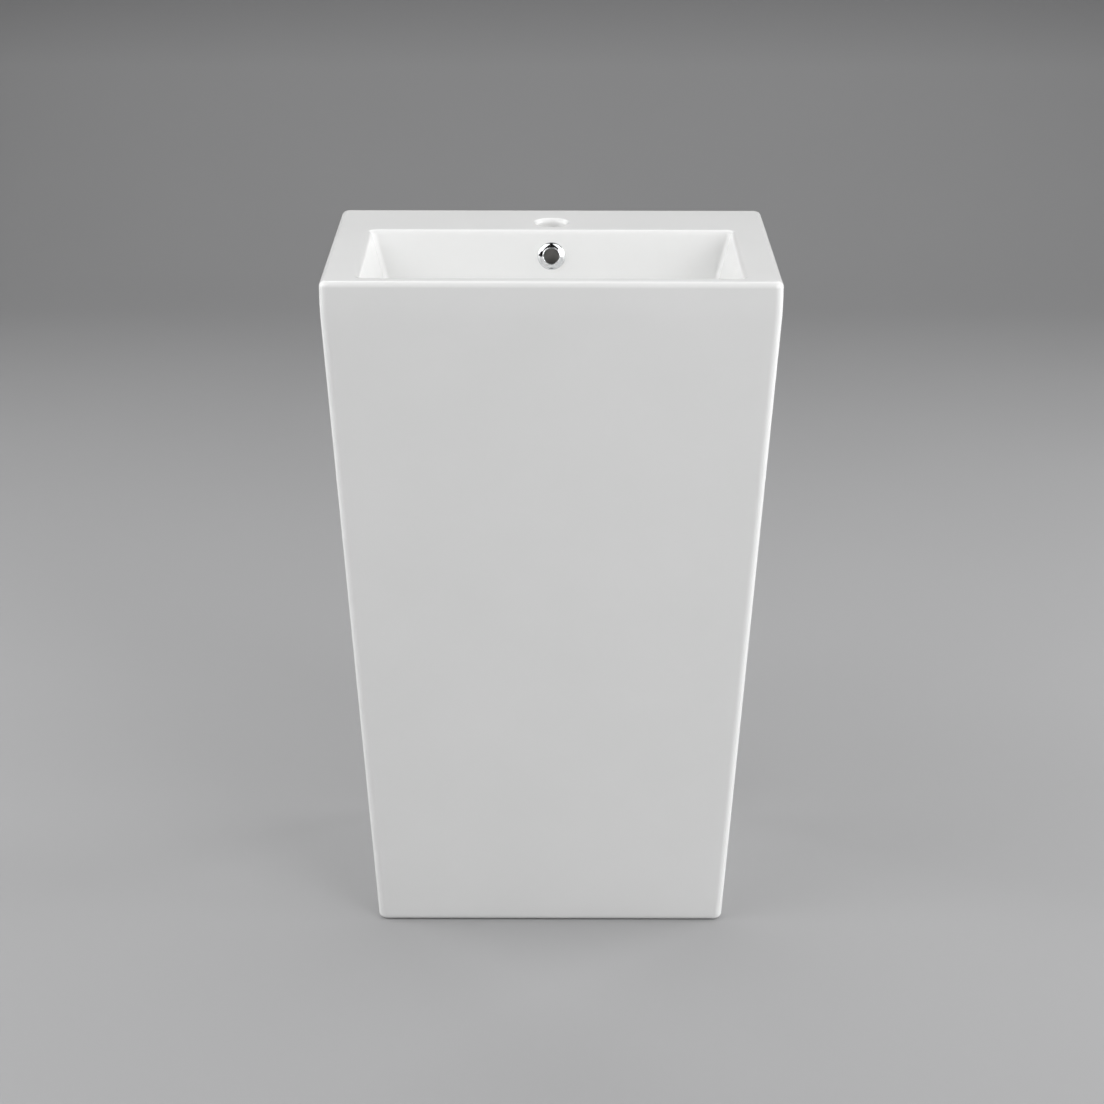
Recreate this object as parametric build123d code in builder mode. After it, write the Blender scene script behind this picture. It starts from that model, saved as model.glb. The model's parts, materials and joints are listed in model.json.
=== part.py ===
"""Freestanding pedestal washbasin: one ceramic shell with its overflow, waste, trap and fixings.

Millimetres. X runs left to right seen from the front, Y runs from the front to the wall,
Z is up. The origin is on the floor, in the middle of the footprint of the widest section.
"""

import math
import os

from build123d import *

os.makedirs("parts", exist_ok=True)

# ---------------------------------------------------------------- driving dimensions
height = 800.0
width = 500.0
depth = 340.0
taper = 44.5  # lean-in of the front and of each side between the rim band and the floor
band = 33.0  # upright band below the top
corner = 10.0  # radius of the upright corners
top_edge = 6.5
foot_edge = 6.5
wall = 14.0
deck = 14.0

bowl_half_width = 208.5
bowl_front = -148.5
bowl_back = 64.0
bowl_depth = 118.0
bowl_wall = 12.0
bowl_corner = 14.0
bowl_floor_radius = 12.0
rim_edge = 5.5
side_slope = 15.0  # degrees from upright
end_slope = 12.0

tap_hole_radius = 17.5
tap_hole_y = 105.0
tap_hole_lip = 2.5

drain_y = (bowl_front + bowl_back) / 2
drain_radius = 22.5
drain_boss_radius = 40.0
drain_boss_height = 42.0
drain_seat_radius = 33.5
drain_seat_depth = 2.5

overflow_drop = 28.7  # centre of the overflow below the deck
overflow_hole_radius = 12.0
duct_half_width = 20.0
duct_gap = 12.0
duct_wall = 8.0

opening_half_width = 150.0  # service opening at the back of the column
opening_height = 620.0
opening_corner = 30.0

fixing_height = 40.0
fixing_y = 110.0
fixing_hole_radius = 6.0
fixing_recess_radius = 11.0
fixing_recess_depth = 4.0

pipe_radius = 16.0
pipe_wall = 1.4
outlet_height = 520.0

# ---------------------------------------------------------------- derived levels
band_bottom = height - band
lean = taper / band_bottom
bowl_floor = height - bowl_depth
side_run = math.tan(math.radians(side_slope))
end_run = math.tan(math.radians(end_slope))
seat_level = bowl_floor - drain_seat_depth
boss_bottom = bowl_floor - drain_boss_height

drain_axis = Axis((0, drain_y, 0), (0, 0, 1))
drain_section = Plane(origin=(0, drain_y, 0), x_dir=(1, 0, 0), z_dir=(0, -1, 0))
side_section = Plane(origin=(0, 0, 0), x_dir=(0, 1, 0), z_dir=(1, 0, 0))
outlet_plane = Plane(origin=(0, drain_y, outlet_height), x_dir=(1, 0, 0), z_dir=(0, 1, 0))
outlet_axis = Axis((0, drain_y, outlet_height), (0, 1, 0))
outlet_section = Plane(origin=(0, drain_y, outlet_height), x_dir=(0, 1, 0), z_dir=(1, 0, 0))


def shell_size(level, inset):
    """Width, depth and centre of the tapered body at a level, pulled in by the inset all round."""
    pull = lean * max(band_bottom - level, 0.0)
    front = -depth / 2 + pull + inset
    back = depth / 2 - inset
    return width - 2 * pull - 2 * inset, back - front, (front + back) / 2


def bowl_size(level, grow):
    """Width, depth and centre of the sloping bowl at a level, pushed out by the given wall."""
    fall = height - level
    half = bowl_half_width - fall * side_run + grow
    front = bowl_front + fall * end_run - grow
    back = bowl_back - fall * end_run + grow
    return 2 * half, back - front, (front + back) / 2


def wall_point(drop, out):
    """A point on the bowl's back wall, moved outwards from the wall's surface."""
    return bowl_back - drop * end_run + out, height - drop


# ---------------------------------------------------------------- hollow of the bowl
with BuildPart() as bowl_space:
    for level in (height, bowl_floor):
        across, along, middle = bowl_size(level, 0.0)
        with BuildSketch(Plane.XY.offset(level)):
            with Locations((0, middle)):
                RectangleRounded(across, along, bowl_corner)
    loft(ruled=True)
    floor_edges = bowl_space.faces().sort_by(Axis.Z)[0].edges()
    fillet(floor_edges, bowl_floor_radius)

# ---------------------------------------------------------------- outside of the bowl
with BuildPart() as bowl_shell:
    for level in (height - deck / 2, bowl_floor - bowl_wall):
        across, along, middle = bowl_size(level, bowl_wall)
        with BuildSketch(Plane.XY.offset(level)):
            with Locations((0, middle)):
                RectangleRounded(across, along, bowl_corner + bowl_wall)
    loft(ruled=True)
    shell_edges = bowl_shell.faces().sort_by(Axis.Z)[0].edges()
    fillet(shell_edges, bowl_floor_radius)
    with Locations((0, drain_y, boss_bottom)):
        Cylinder(
            drain_boss_radius,
            drain_boss_height - bowl_wall / 2,
            align=(Align.CENTER, Align.CENTER, Align.MIN),
        )

# ---------------------------------------------------------------- overflow duct
duct_top = 20.0
duct_turn = bowl_depth + 3.0
duct_roof = bowl_floor - 15.0
duct_floor = duct_roof - duct_gap
duct_outer = bowl_wall + duct_gap + duct_wall

with BuildPart() as duct_housing:
    with BuildSketch(side_section):
        Polygon(
            wall_point(duct_top - duct_wall, 4.0),
            wall_point(duct_top - duct_wall, duct_outer),
            (wall_point(duct_turn, duct_outer)[0], duct_floor - duct_wall),
            (drain_y, duct_floor - duct_wall),
            (drain_y, duct_roof + 4.0),
            wall_point(bowl_depth - 2.0, 4.0),
            align=None,
        )
    extrude(amount=duct_half_width + duct_wall, both=True)

with BuildPart() as duct_space:
    with BuildSketch(side_section):
        Polygon(
            wall_point(duct_top, bowl_wall),
            wall_point(duct_top, bowl_wall + duct_gap),
            (wall_point(duct_turn, bowl_wall + duct_gap)[0], duct_floor),
            (drain_y, duct_floor),
            (drain_y, duct_roof),
            (wall_point(duct_turn, bowl_wall)[0], duct_roof),
            align=None,
        )
    extrude(amount=duct_half_width, both=True)

# ---------------------------------------------------------------- overflow hole in the wall
overflow_y, overflow_z = wall_point(overflow_drop, 0.0)
overflow_out = (0, -math.cos(math.radians(end_slope)), math.sin(math.radians(end_slope)))
overflow_plane = Plane(
    origin=(0, overflow_y, overflow_z), x_dir=(1, 0, 0), z_dir=overflow_out
)
overflow_axis = Axis((0, overflow_y, overflow_z), overflow_out)
overflow_section = Plane(
    origin=(0, overflow_y, overflow_z), x_dir=(1, 0, 0), z_dir=-overflow_plane.y_dir
)

# ---------------------------------------------------------------- ceramic body
with BuildPart() as basin_pedestal:
    for level in (0.0, band_bottom):
        across, along, middle = shell_size(level, 0.0)
        with BuildSketch(Plane.XY.offset(level)):
            with Locations((0, middle)):
                RectangleRounded(across, along, corner)
    loft(ruled=True)
    with BuildSketch(Plane.XY.offset(band_bottom)):
        RectangleRounded(width, depth, corner)
    extrude(amount=band)
    fillet(basin_pedestal.faces().sort_by(Axis.Z)[-1].edges(), top_edge)
    fillet(basin_pedestal.faces().sort_by(Axis.Z)[0].edges(), foot_edge)

    # the column is hollow and open to the floor
    for level in (0.0, band_bottom):
        across, along, middle = shell_size(level, wall)
        with BuildSketch(Plane.XY.offset(level)):
            with Locations((0, middle)):
                RectangleRounded(across, along, corner)
    loft(ruled=True, mode=Mode.SUBTRACT)
    across, along, middle = shell_size(band_bottom, wall)
    with BuildSketch(Plane.XY.offset(band_bottom)):
        with Locations((0, middle)):
            RectangleRounded(across, along, corner)
    extrude(amount=band - deck, mode=Mode.SUBTRACT)

    # the bowl hangs in it, with the overflow duct behind and below
    add(bowl_shell.part)
    add(duct_housing.part)
    add(bowl_space.part, mode=Mode.SUBTRACT)
    add(duct_space.part, mode=Mode.SUBTRACT)
    top_face = basin_pedestal.faces().sort_by(Axis.Z)[-1]
    fillet(top_face.inner_wires()[0].edges(), rim_edge)

    # drain with the sunk seat of the waste flange
    with Locations((0, drain_y, boss_bottom - 1.0)):
        Cylinder(
            drain_radius,
            drain_boss_height + 2.0,
            align=(Align.CENTER, Align.CENTER, Align.MIN),
            mode=Mode.SUBTRACT,
        )
    with Locations((0, drain_y, seat_level)):
        Cylinder(
            drain_seat_radius,
            drain_seat_depth + 1.0,
            align=(Align.CENTER, Align.CENTER, Align.MIN),
            mode=Mode.SUBTRACT,
        )

    # overflow hole through the bowl's back wall into the duct
    with BuildSketch(overflow_plane.offset(4.0)):
        Circle(overflow_hole_radius)
    extrude(amount=-(bowl_wall + 8.0), mode=Mode.SUBTRACT)

    # tap hole with an eased lip
    with Locations((0, tap_hole_y, height - deck / 2)):
        Cylinder(tap_hole_radius, deck + 2.0, mode=Mode.SUBTRACT)
    tap_lip = basin_pedestal.edges().filter_by(GeomType.CIRCLE)
    tap_lip = tap_lip.filter_by(lambda edge: abs(edge.radius - tap_hole_radius) < 0.01)
    fillet(tap_lip.sort_by(Axis.Z)[-1], tap_hole_lip)

    # service opening at the back, open to the floor
    with BuildSketch(Plane.XZ.offset(-depth / 2 - 1.0)):
        with Locations((0, opening_height / 2)):
            RectangleRounded(2 * opening_half_width, opening_height, opening_corner)
        with Locations((0, opening_height / 4)):
            Rectangle(2 * opening_half_width, opening_height / 2 + 2.0)
    extrude(amount=wall + 2.0, mode=Mode.SUBTRACT)

    # holes of the floor fixings, low down at the back of both sides
    with Locations((0, fixing_y, fixing_height)):
        Cylinder(fixing_hole_radius, width, rotation=(0, 90, 0), mode=Mode.SUBTRACT)
    fixing_face = width / 2 - lean * (band_bottom - fixing_height)
    for side in (-1, 1):
        outer_end = side * (fixing_face - fixing_recess_depth / 2 + 2.0)
        with Locations((outer_end, fixing_y, fixing_height)):
            Cylinder(
                fixing_recess_radius,
                fixing_recess_depth + 4.0,
                rotation=(0, 90, 0),
                mode=Mode.SUBTRACT,
            )

# ---------------------------------------------------------------- overflow trim
ring_radius = 15.9
ring_hole = 8.5
ring_lip = 3.2
sleeve_gap = 0.2

with BuildPart() as overflow_ring:
    with BuildSketch(overflow_section):
        with BuildLine():
            Polyline(
                (ring_hole, -14.0),
                (ring_hole, ring_lip - 1.0),
                (ring_hole + 1.0, ring_lip),
                (ring_hole + 2.0, ring_lip - 0.4),
                (ring_hole + 3.0, 1.4),
                (ring_radius - 2.0, 1.6),
                (ring_radius - 0.6, 1.2),
                (ring_radius, 0.0),
                (ring_hole + 1.5, 0.0),
                (ring_hole + 1.5, -14.0),
                close=True,
            )
        make_face()
    revolve(axis=overflow_axis)

with BuildPart() as overflow_sleeve:
    with BuildSketch(overflow_plane.offset(-0.5)):
        Circle(overflow_hole_radius - 0.1)
        Circle(ring_hole + 1.5 + sleeve_gap, mode=Mode.SUBTRACT)
    extrude(amount=-(bowl_wall - 0.5))

# ---------------------------------------------------------------- waste in the drain
waste_tube = 20.75
thread_gap = 0.05
waste_bore = 18.0
waste_bottom = 606.0
flange_radius = 32.0
flange_bottom = seat_level + 1.5
flange_top = flange_bottom + 3.0
mouth_radius = 25.0
mouth_depth = 1.6
hub_radius = 10.5
hub_bottom = 634.0
hub_height = 8.0
window_half_width = 11.0
window_bottom = duct_floor - 1.0
window_height = 11.0
spider_arms = 3
spider_arm_width = 3.0
hub_bore = 8.0
seal_outer = 33.0
cone_seal_depth = 8.0  # of the part below the boss
cone_seal_reach = 5.0  # of the part inside the drain
slip_washer_thickness = 2.0
back_nut_corner = 32.0
back_nut_height = 11.0
back_nut_face_radius = 31.0
back_nut_face_height = 1.0

with BuildPart() as waste_body:
    with BuildSketch(drain_section):
        Polygon(
            (waste_bore, waste_bottom),
            (waste_tube, waste_bottom),
            (waste_tube, flange_bottom),
            (flange_radius - 0.6, flange_bottom),
            (flange_radius, flange_bottom + 0.8),
            (flange_radius - 1.6, flange_top - 0.5),
            (mouth_radius + 1.5, flange_top),
            (mouth_radius, flange_top - 0.5),
            (mouth_radius, flange_top - mouth_depth),
            (waste_bore + 1.0, flange_top - mouth_depth),
            (waste_bore, flange_top - mouth_depth - 1.0),
            align=None,
        )
    revolve(axis=drain_axis)
    with Locations((0, drain_y, window_bottom + window_height / 2)):
        Box(2 * window_half_width, 60.0, window_height, mode=Mode.SUBTRACT)
    with Locations((0, drain_y, hub_bottom)):
        with PolarLocations(0, spider_arms, start_angle=30):
            Box(
                waste_bore + 0.5,
                spider_arm_width,
                hub_height,
                align=(Align.MIN, Align.CENTER, Align.MIN),
            )
        Cylinder(hub_radius, hub_height, align=(Align.CENTER, Align.CENTER, Align.MIN))
        Cylinder(
            hub_bore,
            hub_height,
            align=(Align.CENTER, Align.CENTER, Align.MIN),
            mode=Mode.SUBTRACT,
        )

with BuildPart() as waste_top_seal:
    with BuildSketch(Plane.XY.offset(seat_level)):
        with Locations((0, drain_y)):
            Circle(flange_radius - 1.0)
            Circle(drain_radius - 1.0, mode=Mode.SUBTRACT)
    extrude(amount=flange_bottom - seat_level)

with BuildPart() as waste_bottom_seal:
    with BuildSketch(drain_section):
        Polygon(
            (waste_tube + 0.1, boss_bottom - cone_seal_depth),
            (seal_outer, boss_bottom - cone_seal_depth),
            (seal_outer, boss_bottom - 3.0),
            (seal_outer - 4.0, boss_bottom),
            (drain_radius - 0.1, boss_bottom),
            (waste_tube + 0.6, boss_bottom + cone_seal_reach),
            (waste_tube + 0.1, boss_bottom + cone_seal_reach),
            align=None,
        )
    revolve(axis=drain_axis)

with BuildPart() as waste_friction_washer:
    slip_washer_bottom = boss_bottom - cone_seal_depth - slip_washer_thickness
    with BuildSketch(Plane.XY.offset(slip_washer_bottom)):
        with Locations((0, drain_y)):
            Circle(seal_outer)
            Circle(waste_tube + 0.25, mode=Mode.SUBTRACT)
    extrude(amount=slip_washer_thickness)

with BuildPart() as waste_back_nut:
    back_nut_top = slip_washer_bottom - back_nut_face_height
    with BuildSketch(Plane.XY.offset(back_nut_top - back_nut_height)):
        with Locations((0, drain_y)):
            RegularPolygon(back_nut_corner, 6)
            Circle(waste_tube + thread_gap, mode=Mode.SUBTRACT)
    extrude(amount=back_nut_height)
    with BuildSketch(Plane.XY.offset(back_nut_top)):
        with Locations((0, drain_y)):
            Circle(back_nut_face_radius)
            Circle(waste_tube + thread_gap, mode=Mode.SUBTRACT)
    extrude(amount=back_nut_face_height)

# ---------------------------------------------------------------- push plug, drawn open
plug_travel = 8.0
seal_thickness = 2.0
plug_seal_bottom = flange_top - mouth_depth + 0.1 + plug_travel
cap_bottom = plug_seal_bottom + seal_thickness
cap_radius = 24.0
cap_height = 5.0
cap_side = 2.2
cap_rise = cap_height - cap_side
cap_dome = (cap_radius**2 + cap_rise**2) / (2 * cap_rise)
cap_halfway = cap_height - cap_dome + math.sqrt(cap_dome**2 - cap_radius**2 / 4)
stem_radius = 4.0
head_radius = 5.7
head_bottom = cap_bottom - 42.5
head_height = 10.0
neck_bottom = head_bottom + head_height + 0.5
cartridge_bore = 6.1
cartridge_radius = 8.0
cartridge_bottom = hub_bottom - 8.0
rotor_height = 6.0
rotor_bottom = head_bottom - 0.2 - rotor_height
cartridge_floor = 3.0
cartridge_vent = 1.5
rotor_bore = 2.6
rotor_teeth = 4
plug_seal_radius = 22.5
spring_bottom = cartridge_bottom + cartridge_floor + 0.4

with BuildPart() as plug_cap:
    with BuildSketch(drain_section):
        with BuildLine():
            Line((0, cap_bottom), (cap_radius - 0.5, cap_bottom))
            Line((cap_radius - 0.5, cap_bottom), (cap_radius, cap_bottom + 0.5))
            Line((cap_radius, cap_bottom + 0.5), (cap_radius, cap_bottom + cap_side))
            ThreePointArc(
                (cap_radius, cap_bottom + cap_side),
                (cap_radius / 2, cap_bottom + cap_halfway),
                (0, cap_bottom + cap_height),
            )
            Line((0, cap_bottom + cap_height), (0, cap_bottom))
        make_face()
    revolve(axis=drain_axis)

with BuildPart() as plug_seal:
    with BuildSketch(Plane.XY.offset(plug_seal_bottom)):
        with Locations((0, drain_y)):
            Circle(plug_seal_radius)
            Circle(stem_radius + thread_gap, mode=Mode.SUBTRACT)
    extrude(amount=seal_thickness)

with BuildPart() as plug_plunger:
    with Locations((0, drain_y, head_bottom + head_height)):
        Cylinder(
            stem_radius,
            cap_bottom - head_bottom - head_height,
            align=(Align.CENTER, Align.CENTER, Align.MIN),
        )
    with Locations((0, drain_y, head_bottom)):
        Cylinder(head_radius, head_height, align=(Align.CENTER, Align.CENTER, Align.MIN))

with BuildPart() as plug_cartridge:
    with BuildSketch(drain_section):
        Polygon(
            (cartridge_vent, cartridge_bottom),
            (cartridge_radius - 1.0, cartridge_bottom),
            (cartridge_radius, cartridge_bottom + 1.0),
            (cartridge_radius, neck_bottom + 2.0),
            (cartridge_radius - 1.0, neck_bottom + 3.0),
            (stem_radius + 0.3, neck_bottom + 3.0),
            (stem_radius + 0.3, neck_bottom),
            (cartridge_bore, neck_bottom),
            (cartridge_bore, cartridge_bottom + cartridge_floor),
            (cartridge_vent, cartridge_bottom + cartridge_floor),
            align=None,
        )
    revolve(axis=drain_axis)

with BuildPart() as plug_latch_rotor:
    with Locations((0, drain_y, rotor_bottom)):
        Cylinder(
            head_radius - 0.1,
            rotor_height,
            align=(Align.CENTER, Align.CENTER, Align.MIN),
        )
        Cylinder(
            rotor_bore,
            rotor_height - 2.0,
            align=(Align.CENTER, Align.CENTER, Align.MIN),
            mode=Mode.SUBTRACT,
        )
        with PolarLocations(head_radius, rotor_teeth):
            Box(
                1.2,
                1.6,
                rotor_height,
                align=(Align.CENTER, Align.CENTER, Align.MIN),
                mode=Mode.SUBTRACT,
            )

spring_wire = 0.45
spring_coil = 4.7
spring_length = rotor_bottom - 0.2 - spring_wire - spring_bottom - spring_wire
spring_turns = 5

with BuildPart() as plug_spring:
    with BuildLine():
        spring_path = Helix(
            spring_length / spring_turns,
            spring_length,
            spring_coil,
            center=(0, drain_y, spring_bottom + spring_wire),
        )
    with BuildSketch(Plane(origin=spring_path @ 0, z_dir=spring_path % 0)):
        Circle(spring_wire)
    sweep()

# ---------------------------------------------------------------- trap inlet under the waste
inlet_nut_bottom = waste_bottom - 9.0
inlet_nut_height = 20.0
collar_bottom = waste_bottom - 5.8
collar_radius = 19.5
nut_outer = 25.5
rib_count = 12
rib_depth = 2.4
rib_width = 4.0
nut_clear = 0.3  # between a nut's lip and the pipe
collar_height = 2.8
inlet_washer_height = 3.0
dip_bottom = outlet_height - 90.0

with BuildPart() as trap_inlet_nut:
    with BuildSketch(drain_section):
        Polygon(
            (pipe_radius + nut_clear, inlet_nut_bottom),
            (nut_outer - 1.0, inlet_nut_bottom),
            (nut_outer, inlet_nut_bottom + 1.0),
            (nut_outer, inlet_nut_bottom + inlet_nut_height),
            (waste_tube + 0.15, inlet_nut_bottom + inlet_nut_height),
            (waste_tube + 0.15, collar_bottom - 0.2),
            (pipe_radius + nut_clear, collar_bottom - 0.2),
            align=None,
        )
    revolve(axis=drain_axis)
    with Locations((0, drain_y, inlet_nut_bottom + 2.0)):
        with PolarLocations(nut_outer, rib_count):
            Box(
                rib_depth,
                rib_width,
                inlet_nut_height - 4.0,
                align=(Align.CENTER, Align.CENTER, Align.MIN),
            )

with BuildPart() as trap_inlet_washer:
    with BuildSketch(Plane.XY.offset(collar_bottom + collar_height)):
        with Locations((0, drain_y)):
            Circle(collar_radius)
            Circle(pipe_radius - pipe_wall, mode=Mode.SUBTRACT)
    extrude(amount=inlet_washer_height)

with BuildPart() as trap_inlet_pipe:
    with BuildSketch(drain_section):
        Polygon(
            (pipe_radius - pipe_wall, dip_bottom),
            (pipe_radius, dip_bottom),
            (pipe_radius, collar_bottom),
            (collar_radius, collar_bottom),
            (collar_radius, collar_bottom + collar_height),
            (pipe_radius - pipe_wall, collar_bottom + collar_height),
            align=None,
        )
    revolve(axis=drain_axis)

# ---------------------------------------------------------------- bottle trap
head_wall_radius = 31.0
head_cavity = 27.0
head_top = 548.0
skirt_bottom = 478.0
stop_bottom = 494.0
stop_radius = 36.0
neck_radius = 20.8
neck_bore = pipe_radius + 0.4
neck_top = head_top + 18.0
cone_radius = 19.5
cone_length = 8.0
spigot_end = 50.0
seal_head = 4.0  # how far a cone seal stands out of its neck
gland_thread = 14.0
gland_nut_end = 7.5
gland_rib_length = 17.0

with BuildPart() as trap_head:
    with BuildSketch(drain_section):
        Polygon(
            (head_cavity, skirt_bottom),
            (head_wall_radius, skirt_bottom),
            (head_wall_radius, stop_bottom),
            (stop_radius, stop_bottom),
            (stop_radius, stop_bottom + 4.0),
            (head_wall_radius, stop_bottom + 6.0),
            (head_wall_radius, head_top - 5.0),
            (head_wall_radius - 5.0, head_top),
            (neck_radius, head_top),
            (neck_radius, neck_top),
            (cone_radius, neck_top),
            (neck_bore, neck_top - cone_length),
            (neck_bore, head_top - 4.0),
            (head_cavity - 3.0, head_top - 4.0),
            (head_cavity, head_top - 7.0),
            align=None,
        )
    revolve(axis=drain_axis)
    with BuildSketch(outlet_plane.offset(head_cavity + 1.5)):
        Circle(neck_radius)
    extrude(amount=spigot_end - head_cavity - 1.5)
    with BuildSketch(outlet_section):
        Polygon(
            (0, 0),
            (0, neck_bore),
            (spigot_end - cone_length, neck_bore),
            (spigot_end, cone_radius),
            (spigot_end, 0),
            align=None,
        )
    spigot_bore = revolve(axis=outlet_axis, mode=Mode.PRIVATE)
    with BuildSketch(outlet_plane.offset(pipe_radius + 6.0)):
        Circle(neck_bore)
    extrude(amount=spigot_end, mode=Mode.SUBTRACT)
    add(spigot_bore, mode=Mode.SUBTRACT)
    with Locations((0, drain_y, (skirt_bottom + head_top - 7.0) / 2)):
        Cylinder(head_cavity, head_top - 7.0 - skirt_bottom, mode=Mode.SUBTRACT)

with BuildPart() as trap_gland_seal:
    with BuildSketch(drain_section):
        Polygon(
            (pipe_radius + 0.05, neck_top - cone_length + 0.8),
            (pipe_radius + 0.05, neck_top + seal_head),
            (cone_radius + 0.5, neck_top + seal_head),
            (cone_radius + 0.5, neck_top + 0.2),
            (cone_radius - 0.3, neck_top + 0.2),
            align=None,
        )
    revolve(axis=drain_axis)

with BuildPart() as trap_gland_nut:
    with BuildSketch(drain_section):
        Polygon(
            (neck_radius + 0.15, neck_top - gland_thread),
            (nut_outer - 0.5, neck_top - gland_thread),
            (nut_outer - 0.5, neck_top + gland_nut_end - 1.0),
            (nut_outer - 1.5, neck_top + gland_nut_end),
            (pipe_radius + nut_clear, neck_top + gland_nut_end),
            (pipe_radius + nut_clear, neck_top + seal_head + 0.1),
            (neck_radius + 0.15, neck_top + seal_head + 0.1),
            align=None,
        )
    revolve(axis=drain_axis)
    with Locations((0, drain_y, neck_top - 12.0)):
        with PolarLocations(nut_outer - 0.5, rib_count):
            Box(rib_depth, rib_width, gland_rib_length, align=(Align.CENTER, Align.CENTER, Align.MIN))

cup_bore = head_wall_radius + 0.3
cup_outer = 35.0
cup_top = stop_bottom - 1.5
cup_floor = dip_bottom - 22.0
cup_floor_thickness = 3.5
cup_body = 32.5
cup_inside = 29.5
cup_rib_count = 16
cup_rib_depth = 2.6
cup_rib_width = 3.0

with BuildPart() as trap_cup_seal:
    with BuildSketch(Plane.XY.offset(cup_top)):
        with Locations((0, drain_y)):
            Circle(cup_outer + 0.5)
            Circle(cup_bore, mode=Mode.SUBTRACT)
    extrude(amount=stop_bottom - cup_top)

with BuildPart() as trap_cup:
    with BuildSketch(drain_section):
        Polygon(
            (0, cup_floor - cup_floor_thickness),
            (22.0, cup_floor - cup_floor_thickness),
            (30.0, cup_floor + 4.0),
            (cup_body, cup_floor + 14.0),
            (cup_body, skirt_bottom - 12.0),
            (cup_outer, skirt_bottom - 8.0),
            (cup_outer, cup_top),
            (cup_bore, cup_top),
            (cup_bore, skirt_bottom - 6.0),
            (cup_inside, skirt_bottom - 10.0),
            (cup_inside, cup_floor + 14.0),
            (27.0, cup_floor + 5.0),
            (20.0, cup_floor),
            (0, cup_floor),
            align=None,
        )
    revolve(axis=drain_axis)
    with Locations((0, drain_y, cup_floor + 18.0)):
        with PolarLocations(cup_body - 0.2, cup_rib_count):
            Box(
                cup_rib_depth,
                cup_rib_width,
                skirt_bottom - cup_floor - 32.0,
                align=(Align.CENTER, Align.CENTER, Align.MIN),
            )

# ---------------------------------------------------------------- trap outlet to the wall
with BuildPart() as trap_outlet_seal:
    with BuildSketch(outlet_section):
        Polygon(
            (spigot_end - cone_length + 0.8, pipe_radius + 0.05),
            (spigot_end + seal_head, pipe_radius + 0.05),
            (spigot_end + seal_head, cone_radius + 0.5),
            (spigot_end + 0.2, cone_radius + 0.5),
            (spigot_end + 0.2, cone_radius - 0.3),
            align=None,
        )
    revolve(axis=outlet_axis)

with BuildPart() as trap_outlet_nut:
    with BuildSketch(outlet_section):
        Polygon(
            (spigot_end - gland_thread, neck_radius + 0.15),
            (spigot_end - gland_thread, nut_outer - 0.5),
            (spigot_end + gland_nut_end - 1.0, nut_outer - 0.5),
            (spigot_end + gland_nut_end, nut_outer - 1.5),
            (spigot_end + gland_nut_end, pipe_radius + nut_clear),
            (spigot_end + seal_head + 0.1, pipe_radius + nut_clear),
            (spigot_end + seal_head + 0.1, neck_radius + 0.15),
            align=None,
        )
    revolve(axis=outlet_axis)
    with BuildSketch(outlet_plane.offset(spigot_end - 12.0)):
        with PolarLocations(nut_outer - 0.5, rib_count):
            Rectangle(rib_depth, rib_width)
    extrude(amount=gland_rib_length)

outlet_start = pipe_radius + 18.0
outlet_length = depth / 2 - drain_y - outlet_start

with BuildPart() as trap_outlet_pipe:
    with BuildSketch(outlet_plane.offset(outlet_start)):
        Circle(pipe_radius)
        Circle(pipe_radius - pipe_wall, mode=Mode.SUBTRACT)
    extrude(amount=outlet_length)

rosette_radius = 37.5
rosette_rise = 10.0
wall_reach = depth / 2 - drain_y

with BuildPart() as wall_rosette:
    with BuildSketch(outlet_section):
        Polygon(
            (wall_reach, rosette_radius - 1.2),
            (wall_reach, rosette_radius),
            (wall_reach - 3.0, rosette_radius - 1.0),
            (wall_reach - rosette_rise + 1.0, pipe_radius + 6.0),
            (wall_reach - rosette_rise, pipe_radius + 4.0),
            (wall_reach - rosette_rise, pipe_radius + nut_clear),
            (wall_reach - rosette_rise + 1.5, pipe_radius + nut_clear),
            (wall_reach - rosette_rise + 2.5, pipe_radius + 5.5),
            (wall_reach - 3.0, rosette_radius - 3.0),
            align=None,
        )
    revolve(axis=outlet_axis)

# ---------------------------------------------------------------- floor fixings
bracket_plate = 3.0
bracket_width = 40.0
bracket_height = 60.0
bracket_foot = 46.0
bracket_face = 191.0  # outer face of the upright leg, just inside the ceramic
slot_width = 8.0
slot_length = 16.0
slot_centre = 24.0
screw_radius = 3.0
screw_head_radius = 5.5
bush_flange = 9.5

for side in (-1, 1):
    with BuildPart() as bracket:
        with BuildSketch(Plane.XZ.offset(-fixing_y)):
            Polygon(
                (side * bracket_face, 0),
                (side * (bracket_face - bracket_foot), 0),
                (side * (bracket_face - bracket_foot), bracket_plate),
                (side * (bracket_face - bracket_plate), bracket_plate),
                (side * (bracket_face - bracket_plate), bracket_height),
                (side * bracket_face, bracket_height),
                align=None,
            )
        extrude(amount=bracket_width / 2, both=True)
        with BuildSketch(Plane.XY.offset(-1.0)):
            with Locations((side * (bracket_face - slot_centre), fixing_y)):
                SlotOverall(slot_length, slot_width)
        extrude(amount=bracket_plate + 2.0, mode=Mode.SUBTRACT)
        with Locations((side * bracket_face, fixing_y, fixing_height)):
            Cylinder(
                screw_radius + thread_gap, 20.0, rotation=(0, 90, 0), mode=Mode.SUBTRACT
            )
        fillet(
            bracket.edges().filter_by(Axis.Y).sort_by(
                lambda edge: abs(abs(edge.center().X) - bracket_face) + edge.center().Z
            )[0],
            2.0,
        )
    if side < 0:
        floor_bracket_left = bracket
    else:
        floor_bracket_right = bracket

recess_face = fixing_face - fixing_recess_depth

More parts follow.
